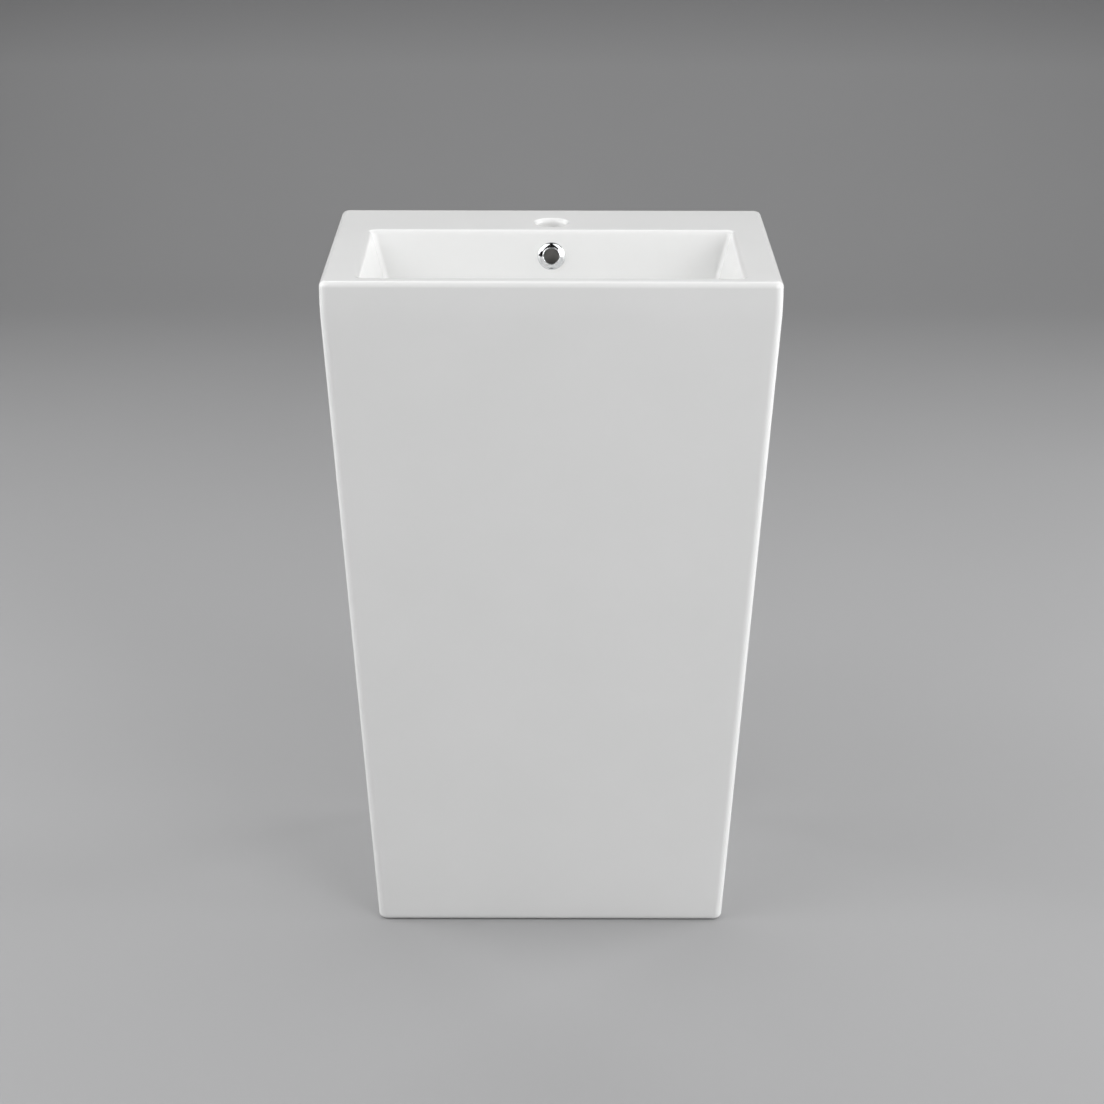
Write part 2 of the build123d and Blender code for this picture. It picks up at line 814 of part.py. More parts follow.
with BuildPart() as side_screws:
    for side in (-1, 1):
        turn = 90 * side
        with Locations(Location((side * (recess_face + 1.2), fixing_y, fixing_height), (0, turn, 0))):
            Cylinder(
                screw_head_radius,
                1.6,
                align=(Align.CENTER, Align.CENTER, Align.MIN),
            )
            Cylinder(screw_radius, 26.0, align=(Align.CENTER, Align.CENTER, Align.MAX))

with BuildPart() as screw_bushes:
    for side in (-1, 1):
        turn = 90 * side
        with Locations(Location((side * recess_face, fixing_y, fixing_height), (0, turn, 0))):
            Cylinder(bush_flange, 1.2, align=(Align.CENTER, Align.CENTER, Align.MIN))
            Cylinder(
                fixing_hole_radius - 0.1,
                9.0,
                align=(Align.CENTER, Align.CENTER, Align.MAX),
            )
            Cylinder(screw_radius, 30.0, mode=Mode.SUBTRACT)

with BuildPart() as screw_caps:
    for side in (-1, 1):
        turn = 90 * side
        with Locations(Location((side * (recess_face + 1.2), fixing_y, fixing_height), (0, turn, 0))):
            Cylinder(
                fixing_recess_radius - 0.5,
                3.4,
                align=(Align.CENTER, Align.CENTER, Align.MIN),
            )
            Cylinder(
                screw_head_radius + 1.0,
                2.2,
                align=(Align.CENTER, Align.CENTER, Align.MIN),
                mode=Mode.SUBTRACT,
            )

# ---------------------------------------------------------------- labels and files
basin_pedestal.part.label = "basin_pedestal"
overflow_ring.part.label = "overflow_ring"
overflow_sleeve.part.label = "overflow_sleeve"
waste_body.part.label = "waste_body"
waste_top_seal.part.label = "waste_top_seal"
waste_bottom_seal.part.label = "waste_bottom_seal"
waste_friction_washer.part.label = "waste_friction_washer"
waste_back_nut.part.label = "waste_back_nut"
plug_cap.part.label = "plug_cap"
plug_seal.part.label = "plug_seal"
plug_plunger.part.label = "plug_plunger"
plug_cartridge.part.label = "plug_cartridge"
plug_latch_rotor.part.label = "plug_latch_rotor"
plug_spring.part.label = "plug_spring"
trap_inlet_nut.part.label = "trap_inlet_nut"
trap_inlet_washer.part.label = "trap_inlet_washer"
trap_inlet_pipe.part.label = "trap_inlet_pipe"
trap_head.part.label = "trap_head"
trap_gland_seal.part.label = "trap_gland_seal"
trap_gland_nut.part.label = "trap_gland_nut"
trap_cup_seal.part.label = "trap_cup_seal"
trap_cup.part.label = "trap_cup"
trap_outlet_seal.part.label = "trap_outlet_seal"
trap_outlet_nut.part.label = "trap_outlet_nut"
trap_outlet_pipe.part.label = "trap_outlet_pipe"
wall_rosette.part.label = "wall_rosette"
floor_bracket_left.part.label = "floor_bracket_left"
floor_bracket_right.part.label = "floor_bracket_right"
side_screws.part.label = "side_screws"
screw_bushes.part.label = "screw_bushes"
screw_caps.part.label = "screw_caps"

export_step(basin_pedestal.part, "parts/basin_pedestal.step")
export_step(overflow_ring.part, "parts/overflow_ring.step")
export_step(overflow_sleeve.part, "parts/overflow_sleeve.step")
export_step(waste_body.part, "parts/waste_body.step")
export_step(waste_top_seal.part, "parts/waste_top_seal.step")
export_step(waste_bottom_seal.part, "parts/waste_bottom_seal.step")
export_step(waste_friction_washer.part, "parts/waste_friction_washer.step")
export_step(waste_back_nut.part, "parts/waste_back_nut.step")
export_step(plug_cap.part, "parts/plug_cap.step")
export_step(plug_seal.part, "parts/plug_seal.step")
export_step(plug_plunger.part, "parts/plug_plunger.step")
export_step(plug_cartridge.part, "parts/plug_cartridge.step")
export_step(plug_latch_rotor.part, "parts/plug_latch_rotor.step")
export_step(plug_spring.part, "parts/plug_spring.step")
export_step(trap_inlet_nut.part, "parts/trap_inlet_nut.step")
export_step(trap_inlet_washer.part, "parts/trap_inlet_washer.step")
export_step(trap_inlet_pipe.part, "parts/trap_inlet_pipe.step")
export_step(trap_head.part, "parts/trap_head.step")
export_step(trap_gland_seal.part, "parts/trap_gland_seal.step")
export_step(trap_gland_nut.part, "parts/trap_gland_nut.step")
export_step(trap_cup_seal.part, "parts/trap_cup_seal.step")
export_step(trap_cup.part, "parts/trap_cup.step")
export_step(trap_outlet_seal.part, "parts/trap_outlet_seal.step")
export_step(trap_outlet_nut.part, "parts/trap_outlet_nut.step")
export_step(trap_outlet_pipe.part, "parts/trap_outlet_pipe.step")
export_step(wall_rosette.part, "parts/wall_rosette.step")
export_step(floor_bracket_left.part, "parts/floor_bracket_left.step")
export_step(floor_bracket_right.part, "parts/floor_bracket_right.step")
export_step(side_screws.part, "parts/side_screws.step")
export_step(screw_bushes.part, "parts/screw_bushes.step")
export_step(screw_caps.part, "parts/screw_caps.step")
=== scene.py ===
"""Freestanding pedestal sink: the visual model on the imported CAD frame, with a plain studio."""
import json
import math

import bmesh
import bpy
import numpy as np
from mathutils import Matrix, Vector


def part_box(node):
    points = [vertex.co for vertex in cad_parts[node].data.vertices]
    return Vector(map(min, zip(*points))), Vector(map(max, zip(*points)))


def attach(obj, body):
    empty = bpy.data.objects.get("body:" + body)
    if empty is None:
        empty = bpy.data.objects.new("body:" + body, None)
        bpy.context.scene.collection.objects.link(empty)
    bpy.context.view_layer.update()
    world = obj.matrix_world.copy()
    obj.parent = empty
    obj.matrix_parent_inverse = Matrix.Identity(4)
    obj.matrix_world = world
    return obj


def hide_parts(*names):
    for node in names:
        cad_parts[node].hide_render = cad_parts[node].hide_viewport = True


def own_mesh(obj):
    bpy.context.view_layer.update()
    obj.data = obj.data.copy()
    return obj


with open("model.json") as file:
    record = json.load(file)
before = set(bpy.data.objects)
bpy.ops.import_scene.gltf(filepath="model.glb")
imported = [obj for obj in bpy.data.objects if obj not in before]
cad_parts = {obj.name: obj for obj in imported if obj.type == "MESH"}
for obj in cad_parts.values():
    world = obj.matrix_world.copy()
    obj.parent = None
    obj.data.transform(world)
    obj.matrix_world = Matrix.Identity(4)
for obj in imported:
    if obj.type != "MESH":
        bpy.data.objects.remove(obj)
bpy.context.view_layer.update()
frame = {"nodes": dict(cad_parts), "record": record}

# ------------------------------------------------------------------ driving sizes, metres
SINK_LOW, SINK_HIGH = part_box("basin_pedestal")
TOP = SINK_HIGH.z
HALF_WIDTH = SINK_HIGH.x
FRONT = SINK_LOW.y
BACK = SINK_HIGH.y
TAPER = 0.0445
BAND = 0.033
BEND_HALF = 0.011
CORNER = 0.010
TOP_EDGE = 0.0065
FOOT_EDGE = 0.0065
WALL = 0.014
DECK = 0.014

BOWL_HALF = 0.2085
BOWL_FRONT = -0.1485
BOWL_BACK = 0.064
BOWL_DEPTH = 0.116
BOWL_WALL = 0.012
RIM_EDGE = 0.0065
RIM_CORNER = 0.006
FLOOR_CORNER = 0.011
FLOOR_EDGE = 0.024
SIDE_SLOPE = math.radians(15.0)
END_SLOPE = math.radians(12.0)
FLOOR_FALL = 0.002

DRAIN_Y = (BOWL_FRONT + BOWL_BACK) / 2
DRAIN_RADIUS = 0.0225
SEAT_RADIUS = 0.0335
SEAT_LEVEL = TOP - 0.1205
BOSS_RADIUS = 0.040
BOSS_BOTTOM = TOP - 0.160

TAP_HOLE = next(m for m in frame["record"]["mounts"] if m["name"] == "tap_hole")
TAP_Y = TAP_HOLE["pos_m"][1]
TAP_RADIUS = TAP_HOLE["dims"]["r_mm"] / 1000
TAP_LIP = 0.0050

OVERFLOW_DROP = 0.0287
OVERFLOW_RADIUS = 0.012
DUCT_TOP = 0.020
DUCT_GAP = 0.012
DUCT_HALF = 0.020
DUCT_WALL = 0.008
OUTLET_Z = next(m for m in frame["record"]["mounts"] if m["name"] == "waste_outlet")["pos_m"][2]

OPENING_HALF = 0.150
OPENING_HEIGHT = 0.620
OPENING_CORNER = 0.030
OPENING_EDGE = 0.0045

# ------------------------------------------------------------------ mesh building


def make_object(name, verts, faces, materials, face_slots=None):
    """A smooth-shaded mesh object in the row frame."""
    mesh = bpy.data.meshes.new(name)
    mesh.from_pydata([tuple(v) for v in verts], [], faces)
    for material in materials:
        mesh.materials.append(material)
    if face_slots is not None:
        mesh.polygons.foreach_set("material_index", face_slots)
    mesh.validate()
    mesh.update()
    mesh.shade_smooth()
    obj = bpy.data.objects.new(name, mesh)
    bpy.context.scene.collection.objects.link(obj)
    return obj


def crease(obj, degrees):
    """Edges sharper than the angle keep a hard line; flat faces lead the shading."""
    obj.data.set_sharp_from_angle(angle=math.radians(degrees))
    weighted = obj.modifiers.new("weighted", "WEIGHTED_NORMAL")
    weighted.keep_sharp = True
    weighted.weight = 80


def boolean(obj, tool, operation):
    """Cuts or joins another mesh, and leaves the result as plain mesh."""
    change = obj.modifiers.new("boolean", "BOOLEAN")
    change.operation = operation
    change.solver = "EXACT"
    change.object = tool
    graph = bpy.context.evaluated_depsgraph_get()
    mesh = bpy.data.meshes.new_from_object(obj.evaluated_get(graph))
    obj.modifiers.clear()
    old = obj.data
    obj.data = mesh
    bpy.data.meshes.remove(old)
    bpy.data.objects.remove(tool)
    return obj


def bridge(rings, closed):
    """Quads between neighbouring rings of the same number of points."""
    count = len(rings[0])
    faces = []
    last = len(rings) if closed else len(rings) - 1
    for row in range(last):
        here = row * count
        there = ((row + 1) % len(rings)) * count
        for i in range(count):
            j = (i + 1) % count
            faces.append((here + i, here + j, there + j, there + i))
    return faces


def eased(points, steps=5):
    """A profile of (radius, height, rounding) corners turned into a smooth line."""
    out = []
    count = len(points)
    for i, (r, z, rounding) in enumerate(points):
        here = np.array((r, z), float)
        before = np.array(points[i - 1][:2], float)
        after = np.array(points[(i + 1) % count][:2], float)
        if rounding <= 0:
            out.append(tuple(here))
            continue
        back = before - here
        forth = after - here
        reach = min(rounding, 0.48 * np.linalg.norm(back), 0.48 * np.linalg.norm(forth))
        start = here + back / np.linalg.norm(back) * reach
        end = here + forth / np.linalg.norm(forth) * reach
        for k in range(steps + 1):
            t = k / steps
            point = (1 - t) ** 2 * start + 2 * t * (1 - t) * here + t**2 * end
            out.append(tuple(point))
    return out


def place_on(origin, axis):
    """The matrix that takes a shape turned about +Z to an axis through the origin given."""
    turn = Vector((0, 0, 1)).rotation_difference(Vector(axis)).to_matrix().to_4x4()
    return Matrix.Translation(Vector(origin)) @ turn


def lathe(name, profile, place, material, segments=96, shape=None, body="basin"):
    """Turns a closed profile about the placed Z axis. shape may change the radius by angle."""
    rings = []
    for r, z in profile:
        ring = []
        for k in range(segments):
            angle = 2 * math.pi * k / segments
            radius = shape(r, z, angle) if shape else r
            ring.append((radius * math.cos(angle), radius * math.sin(angle), z))
        rings.append(ring)
    solid_ends = profile[0][0] < 1e-7
    verts = [v for ring in rings for v in ring]
    faces = bridge(rings, closed=not solid_ends)
    if solid_ends:
        faces = faces[segments:-segments] if profile[-1][0] < 1e-7 else faces[segments:]
        verts, faces = cap_ends(verts, faces, segments, len(rings))
    obj = make_object(name, verts, faces, [material])
    obj.data.transform(place)
    recalc(obj)
    if body:
        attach(obj, body)
    return obj


def cap_ends(verts, faces, segments, rows):
    """Closes a turned shape at the axis with one fan at each end."""
    first = 1
    last = rows - 2
    for row, beyond, flip in ((first, first - 1, False), (last, last + 1, True)):
        verts.append((0.0, 0.0, verts[beyond * segments][2]))
        middle = len(verts) - 1
        for k in range(segments):
            a = row * segments + k
            b = row * segments + (k + 1) % segments
            faces.append((middle, a, b) if flip else (middle, b, a))
    return verts, faces


def recalc(obj):
    """Faces all point out of the solid, and points that nothing uses are dropped."""
    work = bmesh.new()
    work.from_mesh(obj.data)
    loose = [v for v in work.verts if not v.link_faces]
    bmesh.ops.delete(work, geom=loose, context="VERTS")
    bmesh.ops.recalc_face_normals(work, faces=work.faces)
    work.to_mesh(obj.data)
    work.free()
    obj.data.shade_smooth()


def box_tool(name, low, high, material):
    """A plain cutting block."""
    spans = list(zip(low, high))
    corners = [(x, y, z) for x in spans[0] for y in spans[1] for z in spans[2]]
    faces = [(0, 1, 3, 2), (4, 6, 7, 5), (0, 4, 5, 1), (2, 3, 7, 6), (0, 2, 6, 4), (1, 5, 7, 3)]
    obj = make_object(name, corners, faces, [material])
    recalc(obj)
    return obj


# ------------------------------------------------------------------ materials


class Nodes:
    """A node material being built."""

    def __init__(self, name):
        self.material = bpy.data.materials.new(name)
        self.material.use_nodes = True
        self.tree = self.material.node_tree
        self.shader = self.tree.nodes["Principled BSDF"]
        self.where = self.tree.nodes.new("ShaderNodeTexCoord")

    def set(self, **values):
        for key, value in values.items():
            self.shader.inputs[key.replace("_", " ")].default_value = value

    def noise(self, scale, detail=2.0, roughness=0.5, stretch=None):
        tex = self.tree.nodes.new("ShaderNodeTexNoise")
        tex.inputs["Scale"].default_value = scale
        tex.inputs["Detail"].default_value = detail
        tex.inputs["Roughness"].default_value = roughness
        source = self.where.outputs["Object"]
        if stretch:
            mapping = self.tree.nodes.new("ShaderNodeMapping")
            mapping.inputs["Scale"].default_value = stretch
            self.tree.links.new(source, mapping.inputs["Vector"])
            source = mapping.outputs["Vector"]
        self.tree.links.new(source, tex.inputs["Vector"])
        return tex.outputs["Fac"]

    def spread(self, value, low, high, start=0.3, end=0.7):
        node = self.tree.nodes.new("ShaderNodeMapRange")
        node.inputs["From Min"].default_value = start
        node.inputs["From Max"].default_value = end
        node.inputs["To Min"].default_value = low
        node.inputs["To Max"].default_value = high
        self.tree.links.new(value, node.inputs["Value"])
        return node.outputs["Result"]

    def tint(self, value, dark, light):
        ramp = self.tree.nodes.new("ShaderNodeValToRGB")
        ramp.color_ramp.elements[0].position = 0.3
        ramp.color_ramp.elements[0].color = (*dark, 1)
        ramp.color_ramp.elements[1].position = 0.7
        ramp.color_ramp.elements[1].color = (*light, 1)
        self.tree.links.new(value, ramp.inputs["Fac"])
        self.tree.links.new(ramp.outputs["Color"], self.shader.inputs["Base Color"])

    def rough(self, value, low, high):
        self.tree.links.new(self.spread(value, low, high), self.shader.inputs["Roughness"])

    def bumps(self, *layers):
        """Each layer is a height source with its depth in metres."""
        normal = None
        for height, distance in layers:
            bump = self.tree.nodes.new("ShaderNodeBump")
            bump.inputs["Strength"].default_value = 1.0
            bump.inputs["Distance"].default_value = distance
            self.tree.links.new(height, bump.inputs["Height"])
            if normal:
                self.tree.links.new(normal, bump.inputs["Normal"])
            normal = bump.outputs["Normal"]
        self.tree.links.new(normal, self.shader.inputs["Normal"])


def glazed_china():
    """Fired white glaze: pooled evenly, with the faint long wave and fine skin of the firing."""
    m = Nodes("glazed_china")
    m.tint(m.noise(7.0, 3.0), (0.835, 0.838, 0.832), (0.855, 0.856, 0.852))
    m.rough(m.noise(12.0, 2.0), 0.21, 0.24)
    m.set(IOR=1.5, Coat_Weight=0.15, Coat_Roughness=0.10, Coat_IOR=1.5)
    m.bumps((m.noise(6.0, 1.0), 0.0003), (m.noise(420.0, 2.0), 0.000003))
    return m.material


def bare_china():
    """Unglazed fired body inside the column, with a thin uneven mist of glaze."""
    m = Nodes("bare_china")
    m.tint(m.noise(16.0, 5.0, 0.6), (0.72, 0.70, 0.66), (0.80, 0.78, 0.75))
    m.rough(m.noise(30.0, 4.0, 0.6), 0.45, 0.85)
    m.bumps((m.noise(60.0, 5.0, 0.6), 0.0006), (m.noise(900.0, 3.0), 0.00006))
    return m.material


def chrome():
    m = Nodes("polished_chrome")
    m.tint(m.noise(90.0, 2.0), (0.78, 0.79, 0.80), (0.84, 0.85, 0.86))
    m.rough(m.noise(260.0, 4.0, 0.65), 0.035, 0.085)
    m.set(Metallic=1.0)
    m.bumps((m.noise(700.0, 2.0), 0.000004))
    return m.material


def moulded_plastic():
    """White polypropylene of the trap: satin, with faint flow marks."""
    m = Nodes("moulded_white_plastic")
    m.tint(m.noise(35.0, 4.0), (0.80, 0.80, 0.785), (0.85, 0.85, 0.84))
    m.rough(m.noise(120.0, 3.0), 0.26, 0.40)
    m.set(IOR=1.49)
    m.bumps((m.noise(25.0, 2.0), 0.0003), (m.noise(1500.0, 2.0), 0.00001))
    return m.material


def nylon():
    m = Nodes("natural_nylon")
    m.tint(m.noise(60.0, 3.0), (0.72, 0.71, 0.66), (0.80, 0.79, 0.75))
    m.rough(m.noise(200.0, 3.0), 0.38, 0.55)
    m.bumps((m.noise(1200.0, 3.0), 0.00002))
    return m.material


def grey_plastic():
    m = Nodes("grey_moulding")
    m.tint(m.noise(80.0, 3.0), (0.30, 0.31, 0.32), (0.36, 0.37, 0.38))
    m.rough(m.noise(300.0, 3.0), 0.40, 0.58)
    m.bumps((m.noise(1800.0, 3.0), 0.00002))
    return m.material


def black_rubber():
    m = Nodes("black_rubber")
    m.tint(m.noise(140.0, 4.0), (0.018, 0.018, 0.019), (0.035, 0.035, 0.036))
    m.rough(m.noise(400.0, 4.0), 0.55, 0.78)
    m.bumps((m.noise(2200.0, 3.0), 0.00003))
    return m.material


def turned_brass():
    m = Nodes("turned_brass")
    m.tint(m.noise(70.0, 5.0, 0.6), (0.56, 0.38, 0.15), (0.72, 0.52, 0.24))
    m.rough(m.noise(500.0, 3.0, stretch=(0.05, 0.05, 1.0)), 0.22, 0.38)
    m.set(Metallic=1.0)
    m.bumps((m.noise(1600.0, 2.0, stretch=(0.02, 0.02, 1.0)), 0.00003))
    return m.material


def zinc_plate():
    """Zinc-plated steel with the faint mottle of the plating."""
    m = Nodes("zinc_plated_steel")
    m.tint(m.noise(110.0, 5.0, 0.65), (0.50, 0.51, 0.52), (0.66, 0.67, 0.68))
    m.rough(m.noise(160.0, 5.0, 0.6), 0.26, 0.48)
    m.set(Metallic=1.0)
    m.bumps((m.noise(900.0, 3.0), 0.00003))
    return m.material


def spring_wire():
    m = Nodes("drawn_spring_wire")
    m.tint(m.noise(300.0, 2.0), (0.46, 0.46, 0.46), (0.60, 0.60, 0.60))
    m.rough(m.noise(900.0, 3.0), 0.20, 0.34)
    m.set(Metallic=1.0)
    return m.material


def studio_paper_painted_shade(name, floor_shade, dim_wall_painted_shade):
    """Matt paper, pale on the floor, with painted shade that darkens it where it rises behind the
    sink.
    """
    m = Nodes(name)
    split = m.tree.nodes.new("ShaderNodeSeparateXYZ")
    m.tree.links.new(m.where.outputs["Object"], split.inputs["Vector"])
    # painted shade: the colour fades from the floor tone to a dark wall tone with height, standing in
    # for a dimly lit studio
    m.tint(m.spread(split.outputs["Z"], 0.0, 1.0, 0.0, 1.2), floor_shade, dim_wall_painted_shade)
    m.rough(m.noise(3.0, 2.0), 0.62, 0.70)
    return m.material


GLAZE = glazed_china()
BARE = bare_china()
CHROME = chrome()
PLASTIC = moulded_plastic()
NYLON = nylon()
GREY = grey_plastic()
RUBBER = black_rubber()
BRASS = turned_brass()
ZINC = zinc_plate()
WIRE = spring_wire()

# ------------------------------------------------------------------ ceramic rings
# points of each ring along a side, a side wall and a corner
ALONG_X = 46
ALONG_Y = 32
IN_CORNER = 8

# material slots of the ceramic
GLAZED = 0
BARE_BODY = 1

# how far a cutter runs past the face it goes through
PAST = 0.004


def rounded_ring(half, front, back, radius, z):
    """Points of a rounded rectangle, anticlockwise seen from above, always the same number."""
    cx = half - radius
    low = front + radius
    high = back - radius
    points = []

    def side(start, end, count):
        for k in range(count):
            t = k / count
            points.append((start[0] + (end[0] - start[0]) * t, start[1] + (end[1] - start[1]) * t, z))

    def turn(x, y, first):
        for k in range(IN_CORNER):
            a = first + math.pi / 2 * k / IN_CORNER
            points.append((x + radius * math.cos(a), y + radius * math.sin(a), z))

    side((-cx, front), (cx, front), ALONG_X)
    turn(cx, low, -math.pi / 2)
    side((half, low), (half, high), ALONG_Y)
    turn(cx, high, 0.0)
    side((cx, back), (-cx, back), ALONG_X)
    turn(-cx, high, math.pi / 2)
    side((-half, high), (-half, low), ALONG_Y)
    turn(-cx, low, math.pi)
    return np.array(points)


def round_ring(radius, z, like):
    """A circle round the drain whose points lie in the same directions as another ring's."""
    dx = like[:, 0]
    dy = like[:, 1] - DRAIN_Y
    length = np.hypot(dx, dy)
    return np.column_stack(
        (radius * dx / length, DRAIN_Y + radius * dy / length, np.full(len(like), z))
    )


def between(a, b, t):
    return a * (1 - t) + b * t


def pull(z):
    """How far the outside leans in at a level, with the soft bend under the rim band."""
    bend = TOP - BAND
    lean = TAPER / bend
    if z >= bend + BEND_HALF:
        return 0.0
    if z <= bend - BEND_HALF:
        return lean * (bend - z)
    return lean * (bend + BEND_HALF - z) ** 2 / (4 * BEND_HALF)


def outside(z, inset=0.0):
    """Ring of the column's outside at a level."""
    p = pull(z)
    return rounded_ring(
        HALF_WIDTH - p - inset,
        FRONT + p + inset,
        BACK - inset,
        max(CORNER - inset, 0.003),
        z,
    )


def column_inside(z):
    """Ring of the column's inside at a level."""
    p = pull(z)
    return rounded_ring(
        HALF_WIDTH - p - WALL, FRONT + p + WALL, BACK - WALL, CORNER, z
    )


def bowl_offset(depth, slope, bowl_depth, floor_edge):
    """How far a bowl wall stands outside (+) or inside (-) the opening's sharp edge, at a depth."""
    run = math.tan(slope)
    swept = math.pi / 2 - slope
    arc_depth = RIM_EDGE * (1 - math.cos(swept))
    if depth < arc_depth:
        a = math.acos(1 - depth / RIM_EDGE)
        return RIM_EDGE * math.tan(swept / 2) - RIM_EDGE * math.sin(a)
    reach = floor_edge * math.tan(swept / 2)
    corner = -bowl_depth * run
    if depth > bowl_depth - floor_edge * (1 - math.cos(swept)):
        rise = max(bowl_depth - depth, 0.0)
        b = math.acos(1 - rise / floor_edge)
        return corner - reach + floor_edge * math.sin(b)
    return -depth * run


def bowl_ring(depth):
    """Ring of the bowl's wall at a depth below the rim; its corners ease towards the floor."""
    side = bowl_offset(depth, SIDE_SLOPE, BOWL_DEPTH, FLOOR_EDGE)
    end = bowl_offset(depth, END_SLOPE, BOWL_DEPTH, FLOOR_EDGE)
    share = min(depth / BOWL_DEPTH, 1.0)
    radius = RIM_CORNER + max(side, 0.0) + (FLOOR_CORNER - RIM_CORNER) * share**3
    return rounded_ring(
        BOWL_HALF + side, BOWL_FRONT - end, BOWL_BACK + end, radius, TOP - depth
    )


def shell_ring(depth):
    """Outside of the hanging bowl, kept clear of the column's front wall."""
    floor_depth = BOWL_DEPTH + BOWL_WALL
    edge = FLOOR_EDGE + BOWL_WALL
    offsets = []
    for slope in (SIDE_SLOPE, END_SLOPE):
        swept = math.pi / 2 - slope
        reach = edge * math.tan(swept / 2)
        if depth > floor_depth - edge * (1 - math.cos(swept)):
            rise = max(floor_depth - depth, 0.0)
            b = math.acos(1 - rise / edge)
            offset = -floor_depth * math.tan(slope) - reach + edge * math.sin(b)
        else:
            offset = -depth * math.tan(slope)
        offsets.append(offset + BOWL_WALL)
    z = TOP - depth
    front = max(BOWL_FRONT - offsets[1], FRONT + pull(z) + WALL + 0.002)
    return rounded_ring(BOWL_HALF + offsets[0], front, BOWL_BACK + offsets[1], 0.030, z)


def outer_rings():
    """From the foot's flat strip up the column and over the top edge."""
    rings = [outside(0.0, FOOT_EDGE + 0.0035)]
    for k in range(9):
        a = math.pi / 2 * k / 8
        rise = FOOT_EDGE * (1 - math.cos(a))
        rings.append(outside(rise, FOOT_EDGE * (1 - math.sin(a))))
    levels = list(np.linspace(FOOT_EDGE, TOP - BAND - BEND_HALF, 62)[1:])
    levels += list(np.linspace(TOP - BAND - BEND_HALF, TOP - BAND + BEND_HALF, 9)[1:])
    levels += list(np.linspace(TOP - BAND + BEND_HALF, TOP - TOP_EDGE, 4)[1:-1])
    rings += [outside(z) for z in levels]
    for k in range(11):
        a = math.pi / 2 * k / 10
        rise = TOP - TOP_EDGE + TOP_EDGE * math.sin(a)
        rings.append(outside(rise, TOP_EDGE * (1 - math.cos(a))))
    return rings


def deck_rings(edge, rim):
    """Flat rim, from the outer edge to the bowl's edge."""
    return [between(edge, rim, k / 9) for k in range(1, 9)]


def bowl_rings():
    """Over the inner rim, down the walls and round into the floor."""
    rings = []
    swept = math.pi / 2 - END_SLOPE
    for k in range(11):
        rings.append(bowl_ring(RIM_EDGE * (1 - math.cos(swept * k / 10))))
    start = RIM_EDGE * (1 - math.cos(swept))
    end = BOWL_DEPTH - FLOOR_EDGE * (1 - math.cos(swept))
    rings += [bowl_ring(d) for d in np.linspace(start, end, 9)[1:]]
    for k in range(1, 13):
        b = swept * (1 - k / 12)
        rings.append(bowl_ring(BOWL_DEPTH - FLOOR_EDGE * (1 - math.cos(b))))
    return rings


def drain_rings(rim):
    """The floor falls to the waste, with the sunk seat and the drain's bore."""
    floor = TOP - BOWL_DEPTH - FLOOR_FALL
    target = round_ring(SEAT_RADIUS + 0.002, floor, rim)
    rings = []
    for k in range(1, 15):
        t = k / 14
        ring = between(rim, target, t)
        ring[:, 2] = TOP - BOWL_DEPTH - FLOOR_FALL * (3 * t**2 - 2 * t**3)
        rings.append(ring)
    line = eased(
        [
            (SEAT_RADIUS + 0.002, floor, 0),
            (SEAT_RADIUS, floor, 0.002),
            (SEAT_RADIUS, SEAT_LEVEL, 0.0012),
            (DRAIN_RADIUS, SEAT_LEVEL, 0.0015),
            (DRAIN_RADIUS, BOSS_BOTTOM, 0.001),
            (BOSS_RADIUS, BOSS_BOTTOM, 0.002),
            (BOSS_RADIUS, TOP - BOWL_DEPTH - BOWL_WALL, 0.006),
            (BOSS_RADIUS + 0.012, TOP - BOWL_DEPTH - BOWL_WALL, 0),
        ],
        4,
    )
    rings += [round_ring(r, z, rim) for r, z in line[1:]]
    return rings


def under_rings(first):
    """Underside and outside of the bowl, up to the underside of the deck."""
    floor_depth = BOWL_DEPTH + BOWL_WALL
    edge = FLOOR_EDGE + BOWL_WALL
    rings = [between(first, shell_ring(floor_depth), k / 8) for k in range(1, 9)]
    swept = math.pi / 2 - END_SLOPE
    for k in range(1, 9):
        rings.append(shell_ring(floor_depth - edge * (1 - math.cos(swept * k / 8))))
    start = floor_depth - edge * (1 - math.cos(swept))
    rings += [shell_ring(d) for d in np.linspace(start, DECK + 0.004, 8)[1:]]
    return rings


def inner_rings():
    """Column walls from the deck down to the inner edge of the foot."""
    top = TOP - DECK
    rings = [column_inside(z) for z in np.linspace(top - 0.004, 0.004, 60)]
    rings.append(between(column_inside(0.0), outside(0.0, WALL - 0.001), 0.5))
    return rings


def mark_slots(rings, bare_from):
    """Material slot of each quad: bare body from the drain's boss round to the foot."""
    count = len(rings[0])
    slots = []
    for row in range(len(rings)):
        slots += [BARE_BODY if row >= bare_from else GLAZED] * count
    return slots


def ceramic_shell():
    """One closed loop of rings: column, rim, bowl, drain, underside and column inside."""
    outer = outer_rings()
    bowl = bowl_rings()
    deck = deck_rings(outer[-1], bowl[0])
    drain = drain_rings(bowl[-1])
    under = under_rings(drain[-1])
    inner = inner_rings()
    rings = outer + deck + bowl + drain + under + inner
    bare_from = len(outer) + len(deck) + len(bowl) + len(drain) - 8
    verts = np.vstack(rings)
    faces = bridge(rings, closed=True)
    return make_object(
        "ceramic_basin_pedestal", verts, faces, [GLAZE, BARE], mark_slots(rings, bare_from)
    )


# ------------------------------------------------------------------ holes of the ceramic
def wall_point(drop, out):
    """A point on the bowl's back wall, moved out behind the wall's face."""
    return BOWL_BACK - drop * math.tan(END_SLOPE) + out, TOP - drop


